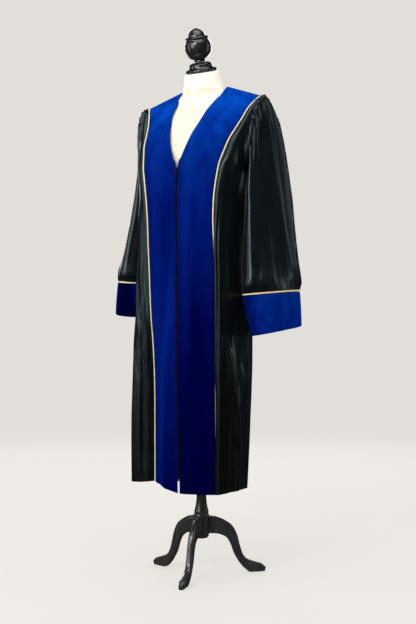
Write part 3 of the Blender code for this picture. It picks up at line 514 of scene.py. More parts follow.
def folded(points, name, across):
    """Each row moved out, level, by the folds that pass through it."""
    flat_edge = 0.08
    edges = ease(across / flat_edge) * ease((1 - across) / flat_edge)
    for fold in FOLDS[name]:
        runs_out = fold["bottom"] < HEM_BACK
        for row in points:
            length = np.linalg.norm(np.diff(row[:, :2], axis=0), axis=1).sum()
            t = np.clip((fold["top"] - row[:, 2]) / (fold["top"] - fold["bottom"]), 0, 1)
            centre = fold["across_top"] + (fold["across_bottom"] - fold["across_top"]) * t
            away = (across - centre) * length / fold["width"]
            rise = (fold["rise_top"] + (fold["rise_bottom"] - fold["rise_top"]) * t) * ease(5 * t)
            rise = rise * edges * np.exp(-away * away) * (1 if runs_out else ease(8 * (1 - t)))
            along = unit(np.gradient(row[:, :2], axis=0))
            out = np.stack([along[:, 1], -along[:, 0]], axis=1)
            out *= np.sign((out * row[:, :2]).sum())
            row[:, :2] += out * rise[:, None]
    return points


def velvet_grid(side, name):
    front, piping, _, _ = row_heights(side)
    across = np.linspace(0, 1, 8)
    rows = []
    for row, (front_z, piping_z) in enumerate(zip(front, piping)):
        start, end = v_point(front_z), piping_point(piping_z)
        tangent = unit(end - start)
        end = end - tangent * (PIPING_R + SEAM)
        out = unit(np.array([tangent[1], -tangent[0], 0.0]))
        bulge = VELVET_BULGE * ease(row / 3) * 4 * across * (1 - across)
        rows.append(start + np.outer(across, end - start) + np.outer(bulge, out))
    return folded(np.array(rows), name, across)


def side_front_grid(side, name):
    front, piping, side_z, _ = row_heights(side)
    across = np.concatenate([np.linspace(0, 0.32, 6)[:-1], np.linspace(0.32, 1, 8)])
    rows = []
    for row in range(1, len(piping)):
        seam = piping_point(piping[row])
        tangent = unit(seam - v_point(front[row]))
        cover = read(PIPING_COVER[side], "z", seam[2], "cover")
        start = seam + tangent * (PIPING_R + SEAM) * (1 - cover)
        end = side_point(row, side_z[row], behind=False)
        corner_x, corner_y = read(SECTIONS, "z", side_z[row], "corner_x", "corner_y")
        lift = HEMS[side]["corner_lift"] * ease((row - 12) / 9)
        corner = np.array([corner_x, corner_y, (start[2] + end[2]) / 2 + lift])
        rows.append(bezier(start, corner, end, across))
    return folded(np.array(rows), name, across)


def back_half(side, name):
    """From the middle of the back to the armhole and side seam, for the wearer's left."""
    _, _, side_z, back_z = row_heights(side)
    across = np.linspace(0, 1, 16)
    top = np.array([shoulder_point(u) for u in across])
    rear_x, back_y, corner_z = (SECTIONS[name][-1] for name in ("rear_x", "back_y", "z"))
    start, corner = np.array([0.0, back_y, back_z[0]]), np.array([rear_x, back_y, corner_z])
    plain_top = bezier(start, corner, top[-1], across)
    rows = []
    for row, (edge_z, middle_z) in enumerate(zip(side_z, back_z)):
        rear_x, back_y = read(SECTIONS, "z", middle_z, "rear_x", "back_y")
        start = np.array([0.0, back_y, middle_z])
        end = side_point(row, edge_z, behind=True)
        corner = np.array([rear_x, back_y, (middle_z + edge_z) / 2])
        section = bezier(start, corner, end, across)
        blend = (1 - row / 5) ** 2 if row < 5 else 0
        section[:, 1:] += (top - plain_top)[:, 1:] * blend
        rows.append(section if row else top)
    return folded(np.array(rows), name, across)


def shoulder_point(across):
    """The back panel's top edge: the back neck, then the shoulder seam."""
    if across <= NECK_SHARE:
        turn = across / NECK_SHARE * math.pi / 2
        x, y, z = NECK_CORNER
        y += NECK_DEPTH * math.cos(turn)
        return np.array([x * math.sin(turn), y, z - NECK_DIP * math.cos(turn) ** 1.5])
    t = (across - NECK_SHARE) / (1 - NECK_SHARE)
    return np.array(NECK_CORNER) + t * np.array(SHOULDER_RUN)


def ellipse(ring, angles):
    """Points round a sleeve ring: 0 is its outer side and 90 degrees its front."""
    outer = np.array([ring["outer_x"], 0, ring["outer_z"]])
    inner = np.array([ring["inner_x"], 0, ring["inner_z"]])
    middle = (ring["front_y"] + ring["back_y"]) / 2
    reach = (ring["back_y"] - ring["front_y"]) / 2
    centre = (outer + inner) / 2 + np.array([0, middle, 0])
    out = (outer - inner) / 2
    front = np.array([0, -reach, -ring["front_drop"]])
    return centre + np.outer(np.cos(angles), out) + np.outer(np.sin(angles), front), centre


def armhole_ring(angles):
    degrees = np.abs(np.degrees(angles))
    x, z, front_y, back_y = read(ARMHOLE, "angle", degrees, "x", "z", "front_y", "back_y")
    return np.stack([x + ARMHOLE_GAP, np.where(angles > 0, front_y, back_y), z], axis=-1)


def sleeve_angles(count):
    """Angles round the sleeve, closer together over the cap than under the arm."""
    even = -math.pi + 2 * math.pi * (np.arange(count) + 0.5) / count
    return even - 0.55 * np.sin(even)


def sleeve_ring(at, side):
    names = ("outer_x", "outer_z", "inner_x", "inner_z", "front_y", "back_y", "front_drop")
    ring = dict(zip(names, read(SLEEVE, "ring", at, *names)))
    if side < 0:
        share = ease((at - 3) / 9)
        ring["outer_z"] += RIGHT_SLEEVE_LIFT * share
        ring["inner_z"] += RIGHT_SLEEVE_LIFT * share
    return ring


def degrees_off(degrees, place):
    """Degrees round the sleeve from a place, between -180 and 180."""
    return (degrees - place + 180) % 360 - 180


def down_sleeve(fold, share):
    """Where a fold lies round the sleeve at a share of its length."""
    places = np.array([fold[name] for name in ("cap", "middle", "cuff")], float)
    return smooth(np.array([0.0, 0.5, 1.0]), places, share)


def gather(degrees, share):
    """The small pleats that ease the cap into the armhole."""
    window = ease((degrees - CAP_GATHER["from"]) / 20) * ease((CAP_GATHER["to"] - degrees) / 20)
    fade = ease(share / 0.05) * (1 - ease((share - 0.08) / 0.25))
    return CAP_GATHER["rise"] * window * fade * np.cos(2 * math.pi * degrees / CAP_GATHER["pitch"])


def sleeve_grid(side, angles, shares):
    degrees = np.degrees(angles)
    last = SLEEVE["ring"][-1]
    rows, inside = [], []
    for share in shares:
        ring = sleeve_ring(share * last, side)
        points, centre = ellipse(ring, angles)
        hold = (1 - share / 0.30) ** 2 if share < 0.30 else 0
        first, _ = ellipse(sleeve_ring(0, side), angles)
        points += hold * (armhole_ring(angles) - first)
        out = unit(points - centre)
        rise = gather(degrees, share)
        for fold in SLEEVE_FOLDS:
            away = degrees_off(degrees, down_sleeve(fold, share))
            runs_out = 0.35 if fold["end"] >= 1 else 0
            window = ease((share - fold["start"]) / 0.15) * ease((fold["end"] - share) / 0.12 + runs_out)
            rise = rise + fold["rise"] * window * np.exp(-((away / fold["width"]) ** 2))
        rise = rise * ease((share + 0.02) / 0.08) * (1 - 0.8 * ease((share - 0.93) / 0.07))
        rows.append(points + out * rise[:, None])
        inside.append(np.broadcast_to(centre, points.shape))
    return np.array(rows), np.array(inside)


def cuff_grid(side, angles, shares):
    top = sleeve_ring(SLEEVE["ring"][-1], side)
    bottom = dict(CUFF_BOTTOM)
    for name in ("outer_z", "inner_z"):
        top[name] -= CUFF_WALL_DROP
        bottom[name] += RIGHT_CUFF_LIFT if side < 0 else 0
    rows, inside = [], []
    for share in shares:
        ring = {name: top[name] + (bottom[name] - top[name]) * share for name in top}
        points, centre = ellipse(ring, angles)
        rows.append(points)
        inside.append(np.broadcast_to(centre, points.shape))
    return np.array(rows), np.array(inside)


# Fine cloth
def resample(points, at):
    """Points along the first axis at the given places of its index, by a cubic through them."""
    i = np.minimum(at.astype(int), len(points) - 2)
    t = (at - i).reshape(-1, *([1] * (points.ndim - 1)))
    slopes = np.gradient(points, axis=0)
    start = (2 * t**3 - 3 * t**2 + 1) * points[i] + (t**3 - 2 * t**2 + t) * slopes[i]
    return start + (3 * t**2 - 2 * t**3) * points[i + 1] + (t**3 - t**2) * slopes[i + 1]


def with_edges(count):
    """Places from 0 to 1, with a few more close to each end."""
    return np.concatenate([EDGE_PLACES, np.linspace(0.018, 0.982, count), 1 - EDGE_PLACES[::-1]])


def refined(grid, rows, columns):
    down = resample(grid, with_edges(rows) * (len(grid) - 1))
    return resample(down.swapaxes(0, 1), with_edges(columns) * (grid.shape[1] - 1)).swapaxes(0, 1)


def grid_normals(points, wrap, inside):
    """Unit normals of a grid of points, pointing away from the points in inside."""
    if wrap:
        across = np.roll(points, -1, axis=1) - np.roll(points, 1, axis=1)
    else:
        across = np.gradient(points, axis=1)
    normals = unit(np.cross(np.gradient(points, axis=0), across))
    return normals * np.sign((normals * (points - inside)).sum())


def on_axis(grid, drop):
    """For each point of a grid, the point of the stand's axis at its height or a drop lower."""
    return grid * (0, 0, 1) - (0, 0, drop)


def lengths_across(grid):
    steps = np.linalg.norm(np.diff(grid, axis=1), axis=2)
    return np.concatenate([np.zeros((len(grid), 1)), np.cumsum(steps, axis=1)], axis=1)


def lengths_down(grid):
    steps = np.linalg.norm(np.diff(grid, axis=0), axis=2)
    return np.concatenate([np.zeros((1, grid.shape[1])), np.cumsum(steps, axis=0)], axis=0)


def ridge(away):
    """A soft crest with a shallow valley on one side, at a distance in half widths."""
    return np.exp(-away * away) - 0.35 * np.exp(-((away - 1.7) ** 2))


def creases(grid, rows, seed, loose):
    """Relief of a panel: its table of creases, and a number of low loose ones."""
    across = lengths_across(grid)
    width = across[:, -1:]
    share = across / width
    z = grid[..., 2]
    random = np.random.default_rng(seed)
    extra = []
    for _ in range(loose):
        top = random.uniform(0.55, 1.40)
        place = random.uniform(0.04, 0.96)
        extra.append({
            "top": top,
            "bottom": top - random.uniform(0.15, 0.55),
            "across_top": place,
            "across_bottom": place + random.uniform(-0.10, 0.10),
            "width": random.uniform(0.008, 0.020),
            "rise": random.choice([-1, 1]) * random.uniform(0.0005, 0.0014),
            "bow": random.uniform(-0.03, 0.03),
        })
    total = np.zeros(z.shape)
    for fold in list(rows) + extra:
        t = (fold["top"] - z) / (fold["top"] - fold["bottom"])
        inside = np.clip(t, 0, 1)
        place = fold["across_top"] + (fold["across_bottom"] - fold["across_top"]) * inside
        place = place + fold["bow"] * 4 * inside * (1 - inside)
        lean = (fold["across_bottom"] - fold["across_top"]) * width / (fold["top"] - fold["bottom"])
        away = (share - place) * width / fold["width"] / np.sqrt(1 + lean * lean)
        fade = ease(t / 0.25) * (1 if fold["bottom"] < HEM_BACK else ease((1 - t) / 0.25))
        total += fold["rise"] * fade * ridge(away)
    hem = lengths_down(grid)
    hem = hem[-1:] - hem
    sewn = HEM_STITCH * np.exp(-(((hem - HEM_TURN) / HEM_STITCH_HALF) ** 2))
    return total * ease(share / 0.04) * ease((1 - share) / 0.04) - sewn


def sleeve_creases(degrees, shares, side):
    """Relief of a sleeve: its table, uneven pleats at the cap and small gathers over the cuff."""
    random = np.random.default_rng(SEED + side)
    share = shares[:, None]
    total = np.zeros((len(shares), degrees.size))
    for fold in SLEEVE_CREASES:
        place = down_sleeve(fold, share) + (random.uniform(-4, 4) if side < 0 else 0)
        away = degrees_off(degrees, place) / fold["width"]
        fade = ease((share - fold["start"]) / 0.16) * ease((fold["end"] - share) / 0.12)
        rise = fold["rise"] * (0.45 if side < 0 and fold["width"] > 12 else 1)
        total += rise * fade * np.exp(-away * away)
    for angle in np.arange(-78, 92, PLEAT_PITCH):
        place = angle + random.uniform(-2.2, 2.2)
        reach = random.uniform(0.10, 0.30)
        lean = random.uniform(-0.5, 0.5) * 26
        away = degrees_off(degrees, place + lean * share) / random.uniform(2.2, 3.6)
        rise = random.uniform(0.0010, 0.0024) * (1.0 if side > 0 else 0.6)
        total += rise * ease(share / 0.02) * (1 - ease(share / reach)) * ridge(away)
    for angle in np.arange(-176, 180, GATHER_PITCH):
        place = angle + random.uniform(-3.5, 3.5)
        reach = random.uniform(0.06, 0.17)
        away = degrees_off(degrees, place) / random.uniform(2.4, 4.2)
        rise = random.uniform(0.0005, 0.0014) * (1.6 if 55 < angle < 105 else 1)
        held = 1 - 0.6 * ease((share - 0.985) / 0.015)
        total += rise * ease((share - 1 + reach) / reach) * held * ridge(away)
    return total


def rolled(grid, inside, first, last, reach):
    """The panel with its upright edges turned in by two depths, over a short way."""
    across = lengths_across(grid)
    depth = first * np.clip(1 - across / reach, 0, 1) ** 2
    depth += last * np.clip(1 - (across[:, -1:] - across) / reach, 0, 1) ** 2
    return grid - grid_normals(grid, False, inside) * depth[..., None]


def object_of(name, points, faces, look, uv=None, smooth_angle=40.0):
    points = np.asarray(points, float) + (0, STAND_Y, 0)
    mesh = bpy.data.meshes.new(name)
    mesh.from_pydata(points.tolist(), [], [tuple(face) for face in faces])
    mesh.materials.append(look)
    if uv is not None:
        layer = mesh.uv_layers.new(name="cut")
        layer.data.foreach_set("uv", np.asarray(uv, np.float32).ravel())
    mesh.shade_smooth()
    mesh.set_sharp_from_angle(angle=math.radians(smooth_angle))
    made = bpy.data.objects.new(name, mesh)
    bpy.context.scene.collection.objects.link(made)
    return made


def shell(name, outer, wall, look, inside, wrap=False):
    """A thin closed cloth: its outer grid, the same grid moved in by its wall, and the rims."""
    normals = grid_normals(outer, wrap, inside)
    inner = outer - normals * wall
    rows, columns = outer.shape[:2]
    count = rows * columns
    index = np.arange(count).reshape(rows, columns)
    closed = np.concatenate([outer, outer[:, :1]], axis=1) if wrap else outer
    uv = np.stack([lengths_across(closed), -lengths_down(closed)], axis=-1)
    left = index if wrap else index[:, :-1]
    right = np.roll(index, -1, axis=1) if wrap else index[:, 1:]
    quads = [np.stack([left[:-1], right[:-1], right[1:], left[1:]], axis=-1).reshape(-1, 4)]
    quads.append(quads[0][:, ::-1] + count)
    corner = np.stack([uv[:-1, :-1], uv[:-1, 1:], uv[1:, 1:], uv[1:, :-1]], axis=2).reshape(-1, 4, 2)
    uvs = [corner, corner[:, ::-1]]
    for row, turn in ((0, 1), (rows - 1, -1)):
        rim = np.stack([left[row], left[row] + count, right[row] + count, right[row]], axis=-1)
        quads.append(rim[:, ::turn])
        edge = np.stack([uv[row, :-1], uv[row, :-1], uv[row, 1:], uv[row, 1:]], axis=1)
        uvs.append(edge[:, ::turn])
    if not wrap:
        for column, turn in ((0, 1), (columns - 1, -1)):
            near, far = index[:-1, column], index[1:, column]
            quads.append(np.stack([near, far, far + count, near + count], axis=-1)[:, ::turn])
            edge = np.stack([uv[:-1, column], uv[1:, column], uv[1:, column], uv[:-1, column]], axis=1)
            uvs.append(edge[:, ::turn])
    quads, uvs = np.concatenate(quads), np.concatenate(uvs)
    a, b, _, d = outer.reshape(-1, 3)[quads[0]]
    if np.dot(np.cross(b - a, d - a), normals[0, 0]) < 0:
        quads, uvs = quads[:, ::-1], uvs[:, ::-1]
    points = np.concatenate([outer.reshape(-1, 3), inner.reshape(-1, 3)])
    return object_of(name, points, quads, look, uvs)


def mirrored(points, side):
    return points * np.array([side, 1.0, 1.0])


def tube(name, path, first, second, radius, sides, look, closed):
    """A round cord along a path, with the two directions across it."""
    angles = np.arange(sides)[:, None] * 2 * math.pi / sides
    along = np.concatenate([[0], np.cumsum(np.linalg.norm(np.diff(path, axis=0), axis=1))])
    rings = path[:, None] + radius * np.cos(angles) * first[:, None]
    rings = rings + radius * np.sin(angles) * second[:, None]
    count = len(path)
    faces, uv = [], []
    for ring in range(count if closed else count - 1):
        after = (ring + 1) % count
        for i in range(sides):
            j = (i + 1) % sides
            faces.append((ring * sides + i, ring * sides + j, after * sides + j, after * sides + i))
            v0, v1 = along[ring], along[ring] + np.linalg.norm(path[after] - path[ring])
            uv += [(i / sides, v0), ((i + 1) / sides, v0), ((i + 1) / sides, v1), (i / sides, v1)]
    if not closed:
        for ring, order in ((0, range(sides - 1, -1, -1)), (count - 1, range(sides))):
            faces.append(tuple(ring * sides + i for i in order))
            uv += [(0, 0)] * sides
    return object_of(name, rings.reshape(-1, 3), faces, look, uv, smooth_angle=80.0)


def lofted(name, rings, look, smooth_angle):
    """A closed body through rings of points, each end closed by a flat cap."""
    count, sides = rings.shape[:2]
    faces = [tuple(reversed(range(sides))), tuple((count - 1) * sides + i for i in range(sides))]
    for ring in range(count - 1):
        low, high = ring * sides, (ring + 1) * sides
        for i in range(sides):
            j = (i + 1) % sides
            faces.append((low + i, low + j, high + j, high + i))
    return object_of(name, rings.reshape(-1, 3), faces, look, smooth_angle=smooth_angle)


def smooth_profile(profile, steps):
    profile = np.array(profile)
    keys = np.arange(len(profile), dtype=float)
    at = np.linspace(0, len(profile) - 1, (len(profile) - 1) * steps + 1)
    return tuple(zip(smooth(keys, profile[:, 0], at), smooth(keys, profile[:, 1], at)))


def turned(name, profile, look, sides, steps, place=None):
    """A turned solid whose outline runs smoothly through its profile."""
    radius, z = np.array(smooth_profile(profile, steps)).T
    turn = 2 * math.pi * np.arange(sides) / sides
    rings = np.stack(np.broadcast_arrays(
        radius[:, None] * np.cos(turn), radius[:, None] * np.sin(turn), z[:, None]), axis=-1)
    if place is not None:
        rings = place(rings)
    return lofted(name, rings, look, smooth_angle=32.0)


def leaned(points):
    """Points of the neck cap or finial, leaned forward about the top of the neck."""
    lean = math.radians(FINIAL_LEAN)
    x, y, z = points[..., 0], points[..., 1], points[..., 2]
    y, z = y * math.cos(lean) - z * math.sin(lean), y * math.sin(lean) + z * math.cos(lean)
    return np.stack([x, y, z], axis=-1) + NECK_TOP


# Materials
def give(tree, socket, value):
    """Sets a socket to a value, or links it to a node's output. Colours come without alpha."""
    if isinstance(value, bpy.types.NodeSocket):
        tree.links.new(value, socket)
    elif socket.type == "RGBA":
        socket.default_value = (*value, 1)
    else:
        socket.default_value = value


def feed(tree, shader, **sockets):
    for name, value in sockets.items():
        give(tree, shader.inputs[name.replace("_", " ")], value)


def look_of(name, **sockets):
    """A material with a Principled shader and the given values on its sockets."""
    made = bpy.data.materials.new(name)
    made.use_nodes = True
    shader = made.node_tree.nodes["Principled BSDF"]
    feed(made.node_tree, shader, **sockets)
    return made, made.node_tree, shader


def node(tree, kind, inputs=(), **settings):
    made = tree.nodes.new(kind)
    for name, value in settings.items():
        setattr(made, name, value)
    for name, value in dict(inputs).items():
        give(tree, made.inputs[name], value)
    return made


def coordinates(tree):
    """Places on the piece in metres, and on the cloth's flat cut."""
    made = node(tree, "ShaderNodeTexCoord")
    return made.outputs["Object"], made.outputs["UV"]


def axes(tree, vector):
    made = node(tree, "ShaderNodeSeparateXYZ", {"Vector": vector})
    return made.outputs["X"], made.outputs["Y"], made.outputs["Z"]


def scaled(tree, source, *scale):
    """Coordinates of a source, stretched along each axis."""
    return node(tree, "ShaderNodeMapping", {"Vector": source, "Scale": scale}).outputs["Vector"]


def noise(tree, vector, scale, detail=3.0, roughness=0.5, distortion=0.0):
    inputs = {"Vector": vector, "Scale": scale, "Detail": detail}
    inputs.update({"Roughness": roughness, "Distortion": distortion})
    return node(tree, "ShaderNodeTexNoise", inputs).outputs["Fac"]


def waves(tree, vector, scale, direction):
    inputs = {"Vector": vector, "Scale": scale}
    return node(tree, "ShaderNodeTexWave", inputs, bands_direction=direction).outputs["Fac"]


def combined(tree, operation, first, *others):
    """The values joined one after another by a maths operation."""
    for other in others:
        made = node(tree, "ShaderNodeMath", operation=operation)
        give(tree, made.inputs[0], first)
        give(tree, made.inputs[1], other)
        first = made.outputs[0]
    return first


def mapped(tree, value, low, high, to_low=0.0, to_high=1.0):
    inputs = {"Value": value, "From Min": low, "From Max": high, "To Min": to_low, "To Max": to_high}
    return node(tree, "ShaderNodeMapRange", inputs, clamp=True).outputs["Result"]


def within(tree, value, near, far):
    """1 where a value is near zero, falling to 0 where it is far."""
    size = node(tree, "ShaderNodeMath", operation="ABSOLUTE")
    give(tree, size.inputs[0], value)
    return mapped(tree, size.outputs[0], near, far, 1.0, 0.0)


def mixed(tree, share, first, second):
    made = node(tree, "ShaderNodeMix", data_type="RGBA")
    for index, value in ((0, share), (6, first), (7, second)):
        give(tree, made.inputs[index], value)
    return made.outputs[2]


def toned(tree, tone, first, second):
    """A colour between two, by a noise whose ends are left out."""
    return mixed(tree, mapped(tree, tone, 0.3, 0.7), first, second)


def bumped(tree, shader, *layers):
    """Bump maps one over another: height, strength and distance of each."""
    normal = None
    for height, strength, distance in layers:
        inputs = {"Height": height, "Strength": strength, "Distance": distance}
        if normal is not None:
            inputs["Normal"] = normal
        normal = node(tree, "ShaderNodeBump", inputs).outputs["Normal"]
    feed(tree, shader, Normal=normal)


def satin_look():
    """Black satin: a blue-grey sheen on its crests, and painted light and shade in its base colour: lighter
    and bluer above the hips, where the robe is more lit, and a darker, browner black below them.
    """
    made, tree, shader = look_of(
        "black satin look", Sheen_Weight=0.02, Sheen_Roughness=0.45, Sheen_Tint=(0.60, 0.85, 1.0),
        Specular_IOR_Level=0.75, Specular_Tint=(0.66, 0.88, 1.0))
    place, cut = coordinates(tree)
    tone = noise(tree, scaled(tree, place, 1.0, 1.0, 0.35), 9.0, 4.0, 0.6)
    # Painted shade below the hips and painted light above them: the base colour runs from a dark brownish
    # black low down to a lighter blue-grey black higher up.
    low = toned(tree, tone, (0.0008, 0.0009, 0.0010), (0.0034, 0.0030, 0.0026))
    high = toned(tree, tone, (0.0012, 0.0027, 0.0037), (0.0030, 0.0058, 0.0076))
    _, _, z = axes(tree, place)
    wear = mapped(tree, noise(tree, place, 22.0), 0.25, 0.75, 0.29, 0.40)
    feed(tree, shader, Base_Color=mixed(tree, mapped(tree, z, 0.55, 1.05), low, high), Roughness=wear)
    weave = waves(tree, cut, 900.0, "DIAGONAL")
    slub = noise(tree, scaled(tree, cut, 60.0, 900.0, 1.0), 1.0, 2.0)
    ripple = noise(tree, scaled(tree, place, 1.0, 1.0, 0.3), 26.0, 2.0, 0.45, 0.4)
    bumped(tree, shader, (ripple, 0.22, 0.006), (slub, 0.05, 0.0006), (weave, 0.04, 0.0002))
    return made


def velvet_look():
    """Velvet painted bright over the shoulders and chest and navy below: painted light, where the lamps fall
    from above, with noise, streaks and mottle in its nap.
    """
    made, tree, shader = look_of(
        "royal blue velvet look", Roughness=0.9, Specular_IOR_Level=0.0, Sheen_Weight=0.22,
        Sheen_Roughness=0.35, Sheen_Tint=(0.0, 0.14, 0.90))
    place, cut = coordinates(tree)
    x, _, z = axes(tree, place)
    _, _, upward = axes(tree, node(tree, "ShaderNodeNewGeometry").outputs["Normal"])
    nap = noise(tree, scaled(tree, place, 1.0, 1.0, 0.12), 17.0, 3.0, 0.5, 0.4)
    mottle = noise(tree, scaled(tree, place, 1.0, 1.0, 0.6), 28.0, 4.0, 0.6, 0.25)
    on_cuff = mapped(tree, x, 0.20, 0.23)
    rubbed = combined(tree, "MAXIMUM", mapped(tree, z, 1.12, 1.34, 0.15, 1.0), on_cuff)
    # A lighter streak leans down the wearer's right front, and a fainter one lies by the zip
    slope = combined(tree, "MULTIPLY", z, 0.1165)
    streak = combined(tree, "SUBTRACT", combined(tree, "ADD", x, 0.1243), slope)
    streak = within(tree, streak, 0.004, 0.026)
    beside = within(tree, combined(tree, "SUBTRACT", x, 0.034), 0.004, 0.024)
    below_chest = mapped(tree, z, 1.05, 0.80)
    # Painted sheen below the chest: the wearer's right front is made lighter and the left darker, as the nap
    # on the right is seen more edge-on. The last row makes the wearer's right front darker above the chest.
    products = (
        (mapped(tree, x, 0.004, -0.004, 0.0, 0.07), below_chest),
        (mapped(tree, x, -0.004, 0.004, 0.0, -0.12), below_chest),
        (streak, mapped(tree, z, 1.10, 0.84), mapped(tree, z, 0.28, 0.55), 0.13),
        (beside, mapped(tree, z, 0.66, 0.86), 0.10),
        (mapped(tree, mottle, 0.3, 0.7, -0.14, 0.12), rubbed),
        (mapped(tree, x, -0.02, -0.08, 0.0, -0.07), mapped(tree, z, 1.2, 1.3)),
    )
    # Painted light: the nap is made brighter higher up, much brighter over the shoulders, and brighter on
    # faces turned up, where the lamps fall from above. The wearer's left cuff is painted brighter and the
    # right one darker, as they catch the light.
    nap_and_painted_light = combined(
        tree, "ADD",
        mapped(tree, z, 0.28, 1.12, 0.24, 0.48),
        mapped(tree, z, 1.12, 1.44, 0.0, 0.36),
        mapped(tree, upward, 0.0, 0.6, 0.0, 0.10),
        mapped(tree, x, 0.205, 0.250, 0.0, 0.34),
        mapped(tree, x, -0.195, -0.215, 0.0, -0.34),
        mapped(tree, nap, 0.3, 0.7, -0.07, 0.07),
        *(combined(tree, "MULTIPLY", *values) for values in products))
    ramp = node(tree, "ShaderNodeValToRGB", {"Fac": nap_and_painted_light})
    stops = ramp.color_ramp.elements
    for at in (0.25, 0.5, 0.75):
        stops.new(at)
    for stop, colour in zip(stops, VELVET_NAP_AND_PAINTED_LIGHT):
        stop.color = (*colour, 1)
    feed(tree, shader, Base_Color=ramp.outputs["Color"])
    pile = noise(tree, place, 1400.0, 2.0)
    ribs = noise(tree, scaled(tree, cut, 700.0, 90.0, 1.0), 1.0, 2.0)
    crush = noise(tree, place, 34.0, 3.0, 0.55, 0.5)
    bumped(tree, shader, (crush, 0.18, 0.004), (ribs, 0.12, 0.0008), (pile, 0.35, 0.0006))
    return made


def piping_look():
    """Gold cord, with painted shade darkening the grooves between its threads."""
    made, tree, shader = look_of(
        "pale gold piping look", Roughness=0.42, Sheen_Weight=0.2, Sheen_Roughness=0.4,
        Specular_IOR_Level=0.4)
    place, cut = coordinates(tree)
    threads = waves(tree, scaled(tree, cut, 3.0, 420.0, 1.0), 0.3183, "DIAGONAL")
    colour = toned(tree, noise(tree, place, 60.0), (0.78, 0.63, 0.29), (0.92, 0.80, 0.48))
    # Painted shade: the colour turns dark brown in the grooves between the threads.
    groove_shade = mapped(tree, threads, 0.0, 0.4, 0.3, 0.0)
    feed(tree, shader, Base_Color=mixed(tree, groove_shade, colour, (0.46, 0.32, 0.11)))
    bumped(tree, shader, (threads, 0.4, 0.0006))
    return made


def jersey_look():
    """Cream jersey, with painted light on the neck: its colour runs paler from the chest up over the neck.
    """
    made, tree, shader = look_of(
        "cream jersey look", Roughness=0.9, Sheen_Weight=0.15, Sheen_Roughness=0.6,
        Specular_IOR_Level=0.2)
    place, _ = coordinates(tree)
    tone = noise(tree, place, 14.0, 4.0)
    chest = toned(tree, tone, (0.76, 0.67, 0.49), (0.80, 0.71, 0.53))
    neck = toned(tree, tone, (0.88, 0.82, 0.69), (0.91, 0.86, 0.74))
    _, _, z = axes(tree, place)
    # Painted light: the base colour turns paler from the chest up over the neck, to brighten the neck.
    feed(tree, shader, Base_Color=mixed(tree, mapped(tree, z, 1.40, 1.49), chest, neck))
    knit = combined(tree, "MULTIPLY", waves(tree, place, 520.0, "X"), waves(tree, place, 620.0, "Z"))
    bumped(tree, shader, (knit, 0.15, 0.0005), (noise(tree, place, 300.0), 0.08, 0.0005))
    return made


def lacquer_look(name, low, high, rough, coat, grain):
    made, tree, shader = look_of(name, Coat_Weight=coat, Coat_Roughness=0.18, Specular_IOR_Level=0.8)
    place, _ = coordinates(tree)
    streak = noise(tree, scaled(tree, place, 1.0, 1.0, 0.12), 90.0, 4.0, 0.6)
    wear = mapped(tree, noise(tree, place, 30.0, 4.0), 0.3, 0.7, rough * 0.85, rough * 1.25)
    colour = mixed(tree, mapped(tree, streak, 0.35, 0.65), low, high)
    feed(tree, shader, Base_Color=colour, Roughness=wear)
    bumped(tree, shader, (streak, grain, 0.0006), (noise(tree, place, 420.0), grain * 0.5, 0.0003))
    return made


def zip_look(name, low, high, rough, metallic, threads):
    made, tree, shader = look_of(name, Metallic=metallic)
    place, _ = coordinates(tree)
    tone = noise(tree, place, 240.0)
    wear = mapped(tree, tone, 0.3, 0.7, rough * 0.85, rough * 1.2)
    feed(tree, shader, Base_Color=toned(tree, tone, low, high), Roughness=wear)
    bumped(tree, shader, (waves(tree, place, threads, "Z"), 0.3, 0.0002))
    return made


def steel_look():
    made, tree, shader = look_of("steel pole look", Metallic=1.0)
    place, _ = coordinates(tree)
    lines = noise(tree, scaled(tree, place, 1.0, 1.0, 0.02), 900.0)
    colour = mixed(tree, lines, (0.42, 0.42, 0.43), (0.60, 0.60, 0.61))
    feed(tree, shader, Base_Color=colour, Roughness=mapped(tree, lines, 0.3, 0.7, 0.24, 0.38))
    bumped(tree, shader, (lines, 0.06, 0.0002))
    return made


LOOKS = {
    "satin": satin_look(),
    "velvet": velvet_look(),
    "piping": piping_look(),
    "jersey": jersey_look(),
    "gloss": lacquer_look(
        "black gloss lacquer look", (0.008, 0.008, 0.0085), (0.014, 0.014, 0.0145), 0.26, 0.5, 0.03),
    "stand": lacquer_look(
        "black satin lacquer look", (0.020, 0.020, 0.0205), (0.034, 0.034, 0.035), 0.27, 0.6, 0.12),
    "zip": zip_look(
        "black zip tape look", (0.006, 0.006, 0.007), (0.012, 0.012, 0.013), 0.7, 0.0, 1400.0),
    "coil": zip_look(
        "black zip coil look", (0.005, 0.005, 0.006), (0.010, 0.010, 0.011), 0.3, 0.0, 500.0),
    "slider": zip_look(
        "black zip slider look", (0.008, 0.008, 0.009), (0.016, 0.016, 0.017), 0.28, 0.7, 300.0),
    "steel": steel_look(),
}


# Pieces
def dressed(piece, look, *nodes, body="robe_and_form"):
    """The piece takes the nodes' place and their body."""
    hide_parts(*nodes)
    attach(piece, body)
    return piece


def panel_cloth(name, grid, drop, look, wall, seed, loose, share, roll=None):
    """One panel of the robe: a share of its creases, its rolled edges and its shell."""
    inside = on_axis(grid, drop)
    relief = creases(grid, CREASES[name], SEED + seed, loose) * share
    grid = grid + grid_normals(grid, False, inside) * relief[..., None]
    if roll:
        grid = rolled(grid, inside, *roll)
    return dressed(shell(f"{name}_cloth", grid, wall, LOOKS[look], inside), look, name)


